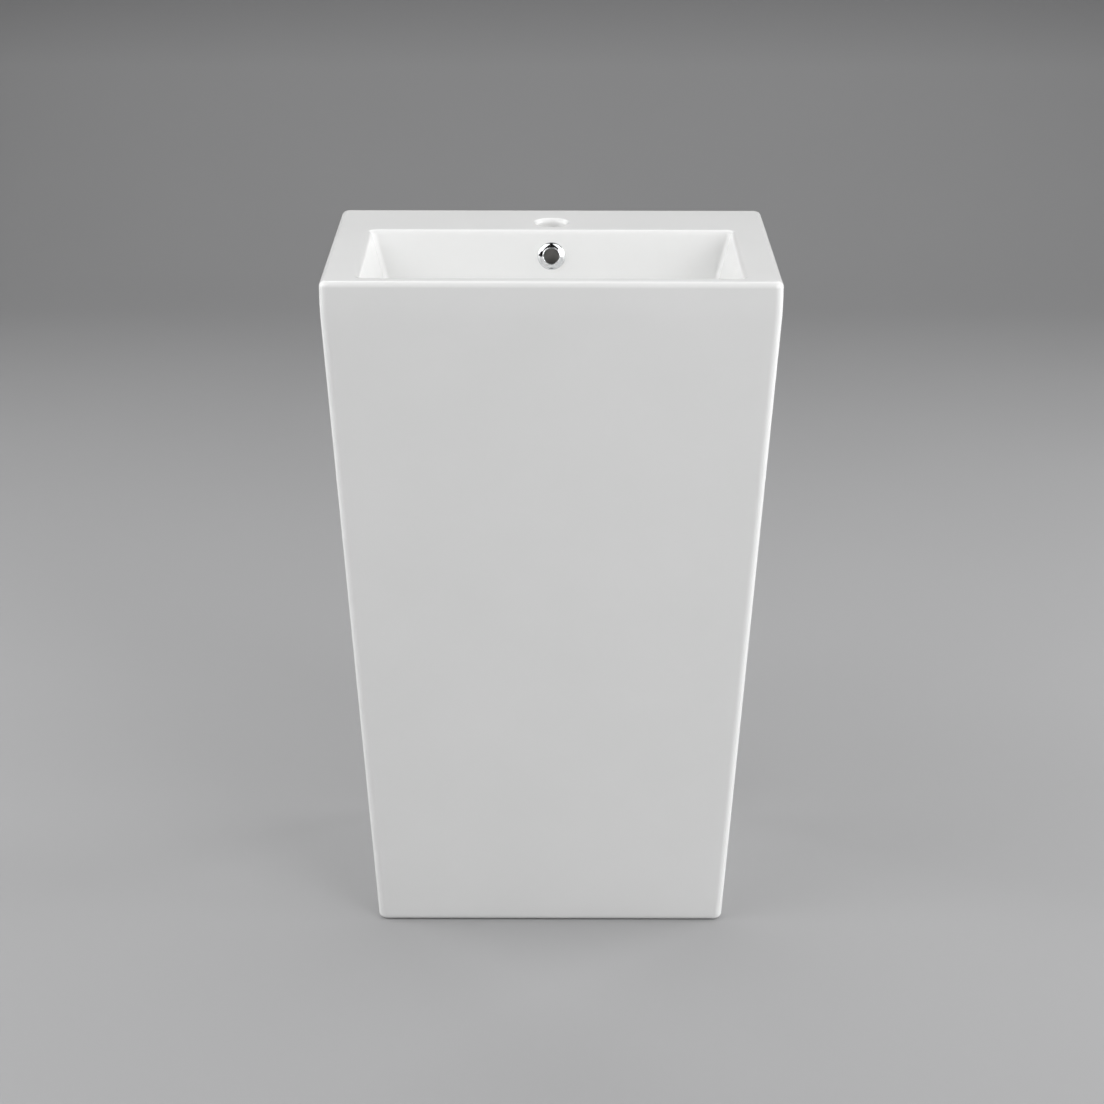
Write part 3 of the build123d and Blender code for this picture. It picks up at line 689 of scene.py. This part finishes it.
def prism(name, outline, half, slot):
    """A block with a YZ outline, centred on the middle plane."""
    count = len(outline)
    verts = [(-half, y, z) for y, z in outline] + [(half, y, z) for y, z in outline]
    faces = [tuple(range(count))[::-1], tuple(range(count, 2 * count))]
    for i in range(count):
        j = (i + 1) % count
        faces.append((i, j, count + j, count + i))
    obj = make_object(name, verts, faces, [GLAZE, BARE])
    obj.data.polygons.foreach_set("material_index", [slot] * len(obj.data.polygons))
    recalc(obj)
    return obj


def duct_outline(top_drop, near, far, roof, floor):
    """Outline of the overflow duct: down behind the back wall, then forward to the drain."""
    turn = BOWL_DEPTH + 0.005
    line = [
        (*wall_point(top_drop, near), 0.0),
        (*wall_point(top_drop, far), 0.006),
        (wall_point(turn, far)[0], floor, 0.010),
        (DRAIN_Y, floor, 0.0),
        (DRAIN_Y, roof, 0.0),
        (wall_point(turn, near)[0], roof, 0.0),
    ]
    return eased(line, 5)


def duct_housing(roof, floor):
    """The duct's outside, kept clear of the drain's bore."""
    outline = duct_outline(
        DUCT_TOP - 0.0075, PAST, BOWL_WALL + DUCT_GAP + DUCT_WALL, roof + DUCT_WALL, floor - DUCT_WALL
    )
    housing = prism("duct_housing", outline, DUCT_HALF + DUCT_WALL, BARE_BODY)
    clear = DRAIN_RADIUS + 0.0015
    low = floor - 0.02
    high = roof + 0.02
    bore = [(0.0, low), (clear, low), (clear, high), (0.0, high)]
    return boolean(housing, turned_tool("housing_bore", bore, ON_DRAIN, BARE_BODY), "DIFFERENCE")


def add_duct(shell):
    """The overflow duct, from behind the ring down to the drain."""
    roof = TOP - BOWL_DEPTH - BOWL_WALL - 0.005
    floor = roof - DUCT_GAP
    boolean(shell, duct_housing(roof, floor), "UNION")
    outline = duct_outline(DUCT_TOP, BOWL_WALL, BOWL_WALL + DUCT_GAP, roof, floor)
    passage = prism("duct_passage", outline, DUCT_HALF, BARE_BODY)
    boolean(shell, passage, "DIFFERENCE")


def turned_tool(name, profile, place, slot):
    """A turned cutter, whose faces leave the ceramic's material slot given."""
    tool = lathe(name, profile, place, GLAZE, segments=96, body=None)
    tool.data.materials.append(BARE)
    tool.data.polygons.foreach_set("material_index", [slot] * len(tool.data.polygons))
    return tool


def flared(radius, flare, low, high, outside_at):
    """Profile of a hole cutter that opens with a round lip at one end."""
    line = [(0.0, low), (radius, low), (radius, outside_at - flare)]
    for k in range(1, 11):
        a = math.pi / 2 * k / 10
        line.append((radius + flare * (1 - math.cos(a)), outside_at - flare + flare * math.sin(a)))
    line += [(radius + flare, high), (0.0, high)]
    return line


def cut_tap_hole(shell):
    profile = flared(TAP_RADIUS, TAP_LIP, -DECK - PAST, 0.010, 0.00004)
    place = place_on((0, TAP_Y, TOP), (0, 0, 1))
    boolean(shell, turned_tool("tap_cut", profile, place, GLAZED), "DIFFERENCE")


OVERFLOW_AXIS = (0, -math.cos(END_SLOPE), math.sin(END_SLOPE))
OVERFLOW_POINT = (0, *wall_point(OVERFLOW_DROP, 0.0))
RING_PLACE = place_on(OVERFLOW_POINT, OVERFLOW_AXIS)


def cut_overflow(shell):
    profile = flared(OVERFLOW_RADIUS, 0.0015, -BOWL_WALL - PAST, 0.010, 0.00003)
    boolean(shell, turned_tool("overflow_cut", profile, RING_PLACE, GLAZED), "DIFFERENCE")


def opening_ring(y, grow):
    """Outline of the service opening at one depth through the back wall."""
    half = OPENING_HALF + grow
    top = OPENING_HEIGHT + grow
    radius = OPENING_CORNER + grow
    below = -0.02
    points = [(-half, y, below)]
    points += [(-half, y, z) for z in np.linspace(0.0, top - radius, 40)]
    for k in range(1, 13):
        a = math.pi - math.pi / 2 * k / 12
        points.append((-half + radius + radius * math.cos(a), y, top - radius + radius * math.sin(a)))
    points += [(x, y, top) for x in np.linspace(-half + radius, half - radius, 24)[1:]]
    for k in range(1, 13):
        a = math.pi / 2 - math.pi / 2 * k / 12
        points.append((half - radius + radius * math.cos(a), y, top - radius + radius * math.sin(a)))
    points += [(half, y, z) for z in np.linspace(top - radius, 0.0, 40)[1:]]
    points.append((half, y, below))
    return points


def cut_service_opening(shell):
    """The opening in the back, with round edges inside and outside."""
    inner = BACK - WALL
    lift = 0.00005
    steps = [(inner - 0.006, OPENING_EDGE)]
    quarter = [math.pi / 2 * k / 8 for k in range(9)]
    for a in quarter:
        depth = OPENING_EDGE * (1 - math.cos(a))
        steps.append((inner - lift + depth, OPENING_EDGE * (1 - math.sin(a))))
    for a in quarter:
        depth = OPENING_EDGE * (1 - math.sin(a))
        steps.append((BACK + lift - depth, OPENING_EDGE * (1 - math.cos(a))))
    steps.append((BACK + 0.006, OPENING_EDGE))
    rings = [opening_ring(y, grow) for y, grow in steps]
    verts = [v for ring in rings for v in ring]
    faces = bridge(rings, closed=False)
    count = len(rings[0])
    faces.append(tuple(range(count)))
    faces.append(tuple(range(len(verts) - count, len(verts)))[::-1])
    tool = make_object("opening_cut", verts, faces, [GLAZE, BARE])
    recalc(tool)
    boolean(shell, tool, "DIFFERENCE")


SCREWS_LOW, SCREWS_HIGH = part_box("side_screws")
FIXING_Y = SCREWS_LOW.y / 2 + SCREWS_HIGH.y / 2
FIXING_Z = SCREWS_LOW.z / 2 + SCREWS_HIGH.z / 2
RECESS_DEPTH = 0.004


def cut_fixing_holes(shell):
    face = HALF_WIDTH - pull(FIXING_Z)
    for side in (-1, 1):
        through = [(0.0, -0.03), (0.006, -0.03), (0.006, 0.01), (0.0, 0.01)]
        place = place_on((side * face, FIXING_Y, FIXING_Z), (side, 0, 0))
        boolean(shell, turned_tool("fixing_cut", through, place, BARE_BODY), "DIFFERENCE")
        recess = flared(0.011, 0.0012, -RECESS_DEPTH, 0.008, 0.0)
        boolean(shell, turned_tool("recess_cut", recess, place, GLAZED), "DIFFERENCE")


def ceramic():
    """The basin and pedestal in one, with all its holes."""
    shell = ceramic_shell()
    add_duct(shell)
    cut_tap_hole(shell)
    cut_overflow(shell)
    cut_service_opening(shell)
    cut_fixing_holes(shell)
    crease(shell, 38)
    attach(shell, "basin")
    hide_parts("basin_pedestal")
    return shell


# ------------------------------------------------------------------ overflow trim
def finish_piece(obj, material_slot, *nodes, sharp=42):
    """Shading, and hiding the CAD nodes that the piece stands for; the material slot given is not
    used.
    """
    crease(obj, sharp)
    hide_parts(*nodes)
    return obj


def overflow_trim():
    """Domed flange with a funnel lip round the hole, and the tube that holds it in the wall."""
    profile = eased(
        [
            (0.0081, -0.0138, 0.0004),
            (0.0081, 0.0012, 0.0008),
            (0.0092, 0.0037, 0.0005),
            (0.0099, 0.0037, 0.0004),
            (0.0102, 0.0031, 0.0003),
            (0.0128, 0.0025, 0.0050),
            (0.0151, 0.0014, 0.0020),
            (0.0160, 0.0001, 0.0001),
            (0.0101, 0.0001, 0.0),
            (0.0101, -0.0138, 0.0003),
        ],
        7,
    )
    ring = lathe("overflow_ring_chrome", profile, RING_PLACE, CHROME, 160)
    finish_piece(ring, "chrome_trim", "overflow_ring", sharp=50)


# ------------------------------------------------------------------ turned pieces on the drain
MM = 0.001
ON_DRAIN = place_on((0, DRAIN_Y, 0), (0, 0, 1))
ON_OUTLET = place_on((0, DRAIN_Y, OUTLET_Z), (0, 1, 0))

# waste: radii, and levels above the floor, in millimetres
TUBE = 20.75
TUBE_BORE = 18.0
TUBE_FOOT = 606.0
NUT_FOOT = 618.0
WASHER_FOOT = 630.0
CONE_FOOT = 632.0
SEAL_FOOT = 679.5
FLANGE_FOOT = 681.0

# trap: radii, and levels above the floor, in millimetres
PIPE = 16.0
PIPE_BORE = 14.6
SLIP_BORE = 16.3
HEAD = 31.0
HEAD_FOOT = 478.0
HEAD_FLANGE = 493.9
HEAD_TOP = 548.0
NECK = 20.8
NECK_TOP = 566.0
SPIGOT_END = 50.0
CUP = 32.5
CUP_FOOT = 404.5


def in_metres(corners):
    return [(r * MM, z * MM, edge * MM) for r, z, edge in corners]


def turned(name, node, slot, material, corners, place=ON_DRAIN, body="basin", **how):
    """A turned piece from (radius, height, rounding) corners in millimetres, in place of a node."""
    profile = eased(in_metres(corners), 4)
    piece = lathe(name, profile, place, material, body=body, **how)
    return finish_piece(piece, slot, node)


def ribs(count, outer, low, high, rise):
    """Grip ribs: pushes the outermost wall out between two heights."""
    def shape(r, z, angle):
        if r < outer * MM - 0.0004:
            return r
        ends = min(max((z / MM - low) / 1.2, 0.0), 1.0) * min(max((high - z / MM) / 1.2, 0.0), 1.0)
        wave = max(math.cos(count * angle), 0.0) ** 0.6
        return r + rise * MM * wave * ends

    return shape


def rows(corners, low, high, count, radius):
    """Extra rows down a straight outer wall, so that a thread or a rib has points to bend."""
    return corners + [(radius, z, 0.0) for z in np.linspace(low, high, count)]


def thread(outer, low, high, pitch, depth):
    """A helical thread cut into the outer wall between two heights."""
    def shape(r, z, angle):
        level = z / MM
        if r < (outer - 0.05) * MM or not low < level < high:
            return r
        phase = (level / pitch - angle / (2 * math.pi)) % 1.0
        cut = abs(2 * phase - 1)
        fade = min((level - low) / pitch, (high - level) / pitch, 1.0)
        return r - depth * MM * cut * fade

    return shape


def waste():
    """Chrome waste: flange in the seat, threaded tube with two overflow windows and a spider."""
    top = FLANGE_FOOT
    corners = [(TUBE_BORE, TUBE_FOOT, 0.3), (TUBE, TUBE_FOOT, 0.4)]
    corners = rows(corners, TUBE_FOOT + 1.0, TUBE_FOOT + 39.0, 166, TUBE)
    corners += [
        (TUBE, top, 0.3), (31.4, top, 0.3), (32.0, top + 0.8, 0.5), (30.6, top + 2.5, 1.0),
        (26.5, top + 3.0, 0.8), (25.0, top + 2.7, 0.5), (25.0, top + 1.4, 0.4),
        (19.0, top + 1.4, 0.6), (TUBE_BORE, top + 0.2, 0.4),
    ]
    cutting = thread(TUBE, TUBE_FOOT + 0.5, TUBE_FOOT + 38.0, 2.309, 1.1)
    profile = eased(in_metres(corners), 4)
    tube = lathe("waste_flange_tube", profile, ON_DRAIN, CHROME, 128, shape=cutting)
    low = (-0.011, DRAIN_Y - 0.03, 0.654)
    high = (0.011, DRAIN_Y + 0.03, 0.665)
    boolean(tube, box_tool("window_cut", low, high, CHROME), "DIFFERENCE")
    boolean(tube, waste_spider(), "UNION")
    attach(tube, "basin")
    finish_piece(tube, "chrome_trim", "waste_body")


def waste_spider():
    """The hub that guides the plug, on three arms inside the tube."""
    low = 634.0
    high = 642.0
    corners = [(8.0, low, 0.3), (10.5, low, 0.5), (10.5, high, 0.5), (8.0, high, 0.3)]
    hub = lathe("waste_hub", eased(in_metres(corners)), ON_DRAIN, CHROME, body=None)
    for angle in (30, 150, 270):
        arm = box_tool(
            "waste_arm", (0.0095, -0.0015, low * MM), (0.0185, 0.0015, high * MM), CHROME
        )
        arm.data.transform(ON_DRAIN @ Matrix.Rotation(math.radians(angle), 4, "Z"))
        boolean(hub, arm, "UNION")
    return hub


def hexagon(r, z, angle):
    """Six flats on the nut's outside, 55.4 mm across."""
    if r < 0.0225:
        return r
    side = (angle % (math.pi / 3)) - math.pi / 6
    return min(r, 0.0277 / math.cos(side))


def waste_fittings():
    """Seals, washer and back nut, from the flange down."""
    turned(
        "waste_top_seal_ring", "waste_top_seal", "black_rubber", RUBBER,
        [
            (21.5, SEAL_FOOT, 0.3), (31.0, SEAL_FOOT, 0.5), (31.0, FLANGE_FOOT, 0.5),
            (21.5, FLANGE_FOOT, 0.3),
        ],
    )
    low = CONE_FOOT
    turned(
        "waste_cone_seal", "waste_bottom_seal", "black_rubber", RUBBER,
        [
            (20.85, low, 0.3), (33.0, low, 1.2), (33.0, low + 5.0, 1.5), (29.0, low + 8.0, 1.5),
            (22.4, low + 8.0, 0.6), (21.35, low + 13.0, 0.4), (20.85, low + 13.0, 0.2),
        ],
    )
    turned(
        "waste_slip_washer", "waste_friction_washer", "white_nylon", NYLON,
        [
            (21.0, WASHER_FOOT, 0.2), (33.0, WASHER_FOOT, 0.6), (33.0, CONE_FOOT, 0.6),
            (21.0, CONE_FOOT, 0.2),
        ],
    )
    low = NUT_FOOT
    turned(
        "waste_hex_nut", "waste_back_nut", "raw_brass", BRASS,
        [
            (20.8, low, 0.6), (28.4, low, 0.2), (30.4, low + 1.0, 0.4), (32.0, low + 2.4, 0.4),
            (32.0, low + 9.4, 0.4), (30.6, low + 10.8, 0.4), (30.9, low + 11.1, 0.2),
            (31.0, WASHER_FOOT, 0.3), (20.8, WASHER_FOOT, 0.6),
        ],
        shape=hexagon, segments=180,
    )


def push_plug():
    """Polished cap with a low dome, and its rubber, both riding on the plunger."""
    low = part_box("plug_cap")[0].z / MM
    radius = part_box("plug_cap")[1].x / MM
    rise = 2.8
    dome = (radius**2 + rise**2) / (2 * rise)
    corners = [(0.0, low, 0.0), (radius - 0.5, low, 0.2), (radius, low + 0.5, 0.3)]
    corners.append((radius, low + 2.2, 0.9))
    for r in [*np.linspace(radius - 1.6, 1.2, 16), 0.5, 0.15, 0.0]:
        height = low + 5.0 - dome + math.sqrt(dome**2 - r**2)
        corners.append((r, height, 0.0))
    turned(
        "plug_cap_dome", "plug_cap", "chrome_trim", CHROME, corners, body="plug", segments=144
    )
    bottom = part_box("plug_seal")[0].z / MM
    turned(
        "plug_seal_ring", "plug_seal", "black_rubber", RUBBER,
        [
            (4.05, bottom, 0.2), (22.5, bottom, 0.9), (22.5, bottom + 2.0, 0.5),
            (4.05, bottom + 2.0, 0.2),
        ],
        body="plug",
    )


# ------------------------------------------------------------------ bottle trap
def slip_nut(name, node, low, reach, lip, inner, outer, place=ON_DRAIN, flip=False):
    """A ribbed slip nut: thread side at low, its lip over the pipe at low + reach, or flipped."""
    top = low + reach
    corners = [(inner, low, 0.5), (outer, low, 0.8)]
    corners = rows(corners, low + 1.5, top - 3.0, 12, outer)
    corners += [
        (outer, top - 2.0, 0.8), (outer - 2.2, top, 1.2), (SLIP_BORE, top, 0.6),
        (SLIP_BORE, top - lip, 0.3), (inner, top - lip, 0.3),
    ]
    shape = ribs(12, outer, low + 1.0, top - 2.6, 1.2)
    if flip:
        corners = [(r, 2 * low + reach - z, edge) for r, z, edge in corners][::-1]
        shape = ribs(12, outer, low + 2.6, top - 1.0, 1.2)
    return turned(
        name, node, "white_plastic", PLASTIC, corners, place, shape=shape, segments=192
    )


def trap_pipes():
    """The dip pipe with its collar, the pipe to the wall, and the three slip nuts."""
    low = 430.0
    collar = 600.2
    top = 603.0
    turned(
        "trap_dip_pipe", "trap_inlet_pipe", "white_plastic", PLASTIC,
        [
            (PIPE_BORE, low, 0.4), (PIPE, low, 0.5), (PIPE, collar, 0.8), (19.5, collar, 0.6),
            (19.5, top, 0.4), (PIPE_BORE, top, 0.4),
        ],
    )
    start = (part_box("trap_outlet_pipe")[0].y - DRAIN_Y) / MM
    end = (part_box("trap_outlet_pipe")[1].y - DRAIN_Y) / MM
    turned(
        "trap_wall_pipe", "trap_outlet_pipe", "white_plastic", PLASTIC,
        [(PIPE_BORE, start, 0.4), (PIPE, start, 0.5), (PIPE, end, 0.5), (PIPE_BORE, end, 0.4)],
        ON_OUTLET,
    )
    slip_nut("trap_inlet_slip_nut", "trap_inlet_nut", 597.0, 20.0, 3.0, 20.9, 25.5, flip=True)
    below = 14.0
    slip_nut(
        "trap_gland_slip_nut", "trap_gland_nut", NECK_TOP - below, 21.5, 3.4, 20.95, 25.0
    )
    slip_nut(
        "trap_outlet_slip_nut", "trap_outlet_nut", SPIGOT_END - below, 21.5, 3.4, 20.95, 25.0,
        ON_OUTLET,
    )


def solid_turn(name, corners, place):
    """A turned block that joins or cuts the trap's head."""
    return lathe(name, eased(in_metres(corners), 4), place, PLASTIC, 128, body=None)


def trap_head_outside():
    """A drum with a flange, a neck on top and a spigot towards the wall."""
    drum = solid_turn(
        "trap_head_moulding",
        [
            (0.0, HEAD_FOOT, 0.0), (HEAD, HEAD_FOOT, 0.8), (HEAD, HEAD_FLANGE, 0.3),
            (36.0, HEAD_FLANGE, 0.6), (36.0, 498.0, 1.0), (HEAD, 500.0, 1.5),
            (HEAD, HEAD_TOP - 5.0, 3.0), (26.0, HEAD_TOP, 3.0), (NECK, HEAD_TOP, 1.5),
            (NECK, NECK_TOP, 0.6), (0.0, NECK_TOP, 0.0),
        ],
        ON_DRAIN,
    )
    spigot = solid_turn(
        "trap_spigot",
        [(0.0, 10.0, 0.0), (NECK, 10.0, 0.0), (NECK, SPIGOT_END, 0.6), (0.0, SPIGOT_END, 0.0)],
        ON_OUTLET,
    )
    return boolean(drum, spigot, "UNION")


def trap_body():
    """Bottle trap head: the moulding hollowed out, with cone seats in its neck and spigot."""
    drum = trap_head_outside()
    bore = 16.4
    seat = 19.5
    roof = HEAD_TOP - 4.0
    hollow = solid_turn(
        "trap_hollow",
        [
            (0.0, 470.0, 0.0), (27.0, 470.0, 0.0), (27.0, roof - 3.0, 3.0), (24.0, roof, 3.0),
            (bore, roof, 1.0), (bore, NECK_TOP - 8.0, 0.5), (seat, NECK_TOP + 0.1, 0.0),
            (19.6, NECK_TOP + 4.0, 0.0), (0.0, NECK_TOP + 4.0, 0.0),
        ],
        ON_DRAIN,
    )
    boolean(drum, hollow, "DIFFERENCE")
    passage = solid_turn(
        "spigot_bore",
        [
            (0.0, 12.0, 0.0), (bore, 12.0, 0.0), (bore, SPIGOT_END - 8.0, 0.5),
            (seat, SPIGOT_END + 0.1, 0.0), (19.6, SPIGOT_END + 4.0, 0.0),
            (0.0, SPIGOT_END + 4.0, 0.0),
        ],
        ON_OUTLET,
    )
    boolean(drum, passage, "DIFFERENCE")
    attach(drum, "basin")
    finish_piece(drum, "white_plastic", "trap_head")


def trap_cup():
    """Screw-off cup with grip ribs and a rounded bottom, and the seal above it."""
    low = CUP_FOOT
    collar = 35.0
    rim = 492.3
    inside = 29.5
    corners = [
        (0.0, low, 0.0), (9.0, low, 1.0), (10.0, low + 1.0, 1.0), (20.0, low + 0.1, 2.0),
        (24.0, low + 0.9, 3.0), (30.2, low + 7.5, 4.0), (CUP, low + 17.5, 3.0),
    ]
    corners = rows(corners, low + 19.5, low + 57.5, 20, CUP)
    corners += [
        (CUP, 466.0, 1.5), (collar, 470.0, 1.8), (collar, rim, 0.7), (31.35, rim, 0.5),
        (31.35, 472.0, 0.8), (inside, 468.0, 1.5), (inside, 422.0, 3.0), (27.0, 413.0, 3.0),
        (20.0, 408.0, 3.0), (0.0, 408.0, 0.0),
    ]
    turned(
        "trap_cup_moulding", "trap_cup", "white_plastic", PLASTIC, corners, body="cup",
        shape=ribs(16, CUP, low + 19.5, low + 56.5, 1.1), segments=256,
    )
    seal = rim + 0.2
    turned(
        "trap_cup_seal_ring", "trap_cup_seal", "black_rubber", RUBBER,
        [
            (31.3, seal, 0.3), (35.4, seal, 0.5), (35.4, HEAD_FLANGE, 0.5),
            (31.3, HEAD_FLANGE, 0.3),
        ],
        body="cup_seal",
    )


def cone_seals():
    """Alike seals in the neck and in the spigot."""
    corners = [
        (16.05, NECK_TOP - 7.2, 0.3), (16.7, NECK_TOP - 7.2, 0.3), (19.2, NECK_TOP + 0.1, 0.2),
        (20.0, NECK_TOP + 0.2, 0.3), (20.0, NECK_TOP + 4.0, 0.5), (16.05, NECK_TOP + 4.0, 0.3),
    ]
    turned("trap_gland_cone_seal", "trap_gland_seal", "black_rubber", RUBBER, corners)
    moved = [(r, z - NECK_TOP + SPIGOT_END, edge) for r, z, edge in corners]
    turned(
        "trap_outlet_cone_seal", "trap_outlet_seal", "black_rubber", RUBBER, moved, ON_OUTLET
    )


def rosette():
    """Thin domed cover plate that hides the hole in the wall."""
    wall = (BACK - DRAIN_Y) / MM
    turned(
        "wall_rosette_dome", "wall_rosette", "white_plastic", PLASTIC,
        [
            (36.3, wall, 0.2), (37.5, wall, 0.3), (36.8, wall - 2.6, 1.2), (30.0, wall - 6.2, 3.0),
            (22.0, wall - 9.0, 1.8), (20.0, wall - 10.0, 0.8), (SLIP_BORE, wall - 10.0, 0.4),
            (SLIP_BORE, wall - 8.6, 0.3), (20.4, wall - 8.2, 0.6), (30.0, wall - 4.8, 3.0),
            (35.4, wall - 1.9, 1.0),
        ],
        ON_OUTLET, body="rosette", segments=144,
    )


# ------------------------------------------------------------------ floor fixings
def side_fixings():
    """Machine screws through the ceramic into the brackets, under push-on chrome caps."""
    seat = HALF_WIDTH - pull(FIXING_Z) - RECESS_DEPTH
    shank = 3.0
    for side, word in ((-1, "left"), (1, "right")):
        place = place_on((side * seat, FIXING_Y, FIXING_Z), (side, 0, 0))
        corners = [(0.0, -24.8, 0.0), (2.2, -24.8, 0.2)]
        corners = rows(corners, -24.0, 0.6, 200, shank)
        corners += [
            (shank, 1.2, 0.1), (5.5, 1.2, 0.3), (5.5, 2.2, 0.7), (4.2, 2.8, 0.5),
            (0.0, 2.8, 0.0),
        ]
        turned(
            "side_screw_" + word, "side_screws", "zinc_steel", ZINC, corners, place,
            shape=thread(shank, -24.6, -6.0, 1.0, 0.5), segments=48,
        )
        turned(
            "screw_cap_" + word, "screw_caps", "chrome_trim", CHROME,
            [
                (6.5, 1.2, 0.1), (10.5, 1.2, 0.2), (10.5, 3.4, 0.9), (8.5, 4.5, 1.5),
                (0.0, 4.6, 0.0), (0.0, 3.4, 0.0), (6.5, 3.4, 0.3),
            ],
            place,
        )


def spring_ring(turned_by, height, coil, wire):
    """One round section of the spring's wire, standing across the coil."""
    out = Vector((math.cos(turned_by), math.sin(turned_by), 0.0))
    up = Vector((0, 0, 1))
    middle = Vector((0.0, DRAIN_Y, height)) + out * coil
    sides = 10
    ring = []
    for k in range(sides):
        a = 2 * math.pi * k / sides
        ring.append(middle + out * wire * math.cos(a) + up * wire * math.sin(a))
    return ring


def plug_spring():
    """Coil spring with flattened dead ends."""
    low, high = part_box("plug_spring")
    wire = 0.00045
    coil = high.x - wire
    length = high.z - low.z - 2 * wire
    turns = 7
    steps = turns * 28
    dead = 0.14
    flat_climb = 0.06
    rings = []
    for k in range(steps + 1):
        t = k / steps
        climb = min(max((t - dead) / (1 - 2 * dead), 0.0), 1.0)
        rise = length * (flat_climb * t + (1 - flat_climb) * climb)
        rings.append(spring_ring(2 * math.pi * turns * t, low.z + wire + rise, coil, wire))
    verts = [v for ring in rings for v in ring]
    sides = len(rings[0])
    faces = bridge(rings, closed=False)
    faces.append(tuple(range(sides)))
    faces.append(tuple(range(len(verts) - sides, len(verts)))[::-1])
    spring = make_object("plug_spring_coil", verts, faces, [WIRE])
    recalc(spring)
    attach(spring, "basin")
    finish_piece(spring, "spring_steel", "plug_spring", sharp=60)
    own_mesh(spring)


def soften(node, width):
    """Weld and bevel modifiers that take the knife edge off a CAD node."""
    obj = frame["nodes"][node]
    weld = obj.modifiers.new("weld", "WELD")
    weld.merge_threshold = 0.00001
    bevel = obj.modifiers.new("bevel", "BEVEL")
    bevel.width = width
    bevel.segments = 3
    bevel.limit_method = "ANGLE"
    bevel.angle_limit = math.radians(35)
    bevel.harden_normals = False


def dress(node, material):
    """Gives a CAD node that stays in view its material."""
    obj = frame["nodes"][node]
    obj.data.materials.clear()
    obj.data.materials.append(material)


def kept_nodes():
    """CAD nodes whose shape is right as it is."""
    for node in ("floor_bracket_left", "floor_bracket_right"):
        dress(node, ZINC)
        soften(node, 0.0005)
    for node in ("plug_plunger", "plug_cartridge", "screw_bushes"):
        dress(node, NYLON)
    for node in ("plug_latch_rotor", "overflow_sleeve"):
        dress(node, GREY)
    dress("trap_inlet_washer", RUBBER)


# ------------------------------------------------------------------ stage, light and camera
def staging():
    """A pale floor that sweeps up into a backdrop far behind the sink."""
    half = 6.0
    near = -6.0
    turn_at = 2.6
    radius = 1.6
    line = [(near, 0.0), (turn_at, 0.0)]
    for k in range(1, 17):
        a = math.pi / 2 * k / 16
        line.append((turn_at + radius * math.sin(a), radius * (1 - math.cos(a))))
    height = 6.0
    line.append((turn_at + radius, height))
    verts = [(x, y, z) for y, z in line for x in (-half, half)]
    faces = [(2 * k, 2 * k + 1, 2 * k + 3, 2 * k + 2) for k in range(len(line) - 1)]
    # the second, darker tone is painted shade on the rising wall of the sweep
    paper = studio_paper_painted_shade("studio_paper_painted_shade", (0.36, 0.36, 0.365), (0.11, 0.11, 0.112))
    make_object("studio_sweep", verts, faces, [paper])


def softbox(name, place, target, size, power):
    """A white rectangular light of the size in metres and power in watts, aimed at a point."""
    data = bpy.data.lights.new(name, "AREA")
    data.shape = "RECTANGLE"
    data.size, data.size_y = size
    data.energy = power
    lamp = bpy.data.objects.new(name, data)
    lamp.location = place
    aim = Vector(target) - Vector(place)
    lamp.rotation_euler = aim.to_track_quat("-Z", "Y").to_euler()
    bpy.context.scene.collection.objects.link(lamp)


def lighting():
    """Very large soft lights: three overhead, the key at front right, one a side, one behind."""
    waist = (0.0, 0.0, 0.5)
    rim = (0.0, 0.0, 0.7)
    for side in (-1, 1):
        softbox("overhead", (1.55 * side, -1.7, 3.0), rim, (1.9, 2.4), 24)
    softbox("overhead_left", (-2.2, -0.8, 2.6), rim, (2.2, 2.6), 27)
    softbox("front_key", (2.8, -3.4, 1.8), waist, (2.6, 2.6), 74)
    softbox("side_left", (-2.8, 0.3, 1.4), waist, (2.6, 2.6), 62)
    softbox("side_right", (2.8, 0.3, 1.4), waist, (2.6, 2.6), 80)
    softbox("back_top", (0.0, 2.0, 2.7), rim, (3.4, 1.4), 31)
    world = bpy.data.worlds.new("studio_air")
    world.use_nodes = True
    air = world.node_tree.nodes["Background"]
    air.inputs["Color"].default_value = (0.5, 0.5, 0.5, 1)
    air.inputs["Strength"].default_value = 0.02
    bpy.context.scene.world = world


def viewpoint():
    """The camera stands in front of the sink and looks down on it."""
    data = bpy.data.cameras.new("camera")
    data.sensor_width = 36.0
    data.lens = 81.685
    camera = bpy.data.objects.new("camera", data)
    down = math.radians(21.02)
    level = math.radians(0.108)
    turn = Matrix.Rotation(math.pi / 2 - down, 4, "X") @ Matrix.Rotation(level, 4, "Z")
    stand = Vector((0.0013, -2.777, 1.493))
    camera.matrix_world = Matrix.Translation(stand) @ turn
    bpy.context.scene.collection.objects.link(camera)
    bpy.context.scene.camera = camera


ceramic()
overflow_trim()
waste()
waste_fittings()
push_plug()
trap_pipes()
trap_body()
trap_cup()
cone_seals()
rosette()
side_fixings()
plug_spring()
kept_nodes()
staging()
lighting()
viewpoint()
bpy.context.scene.view_settings.view_transform = "Standard"
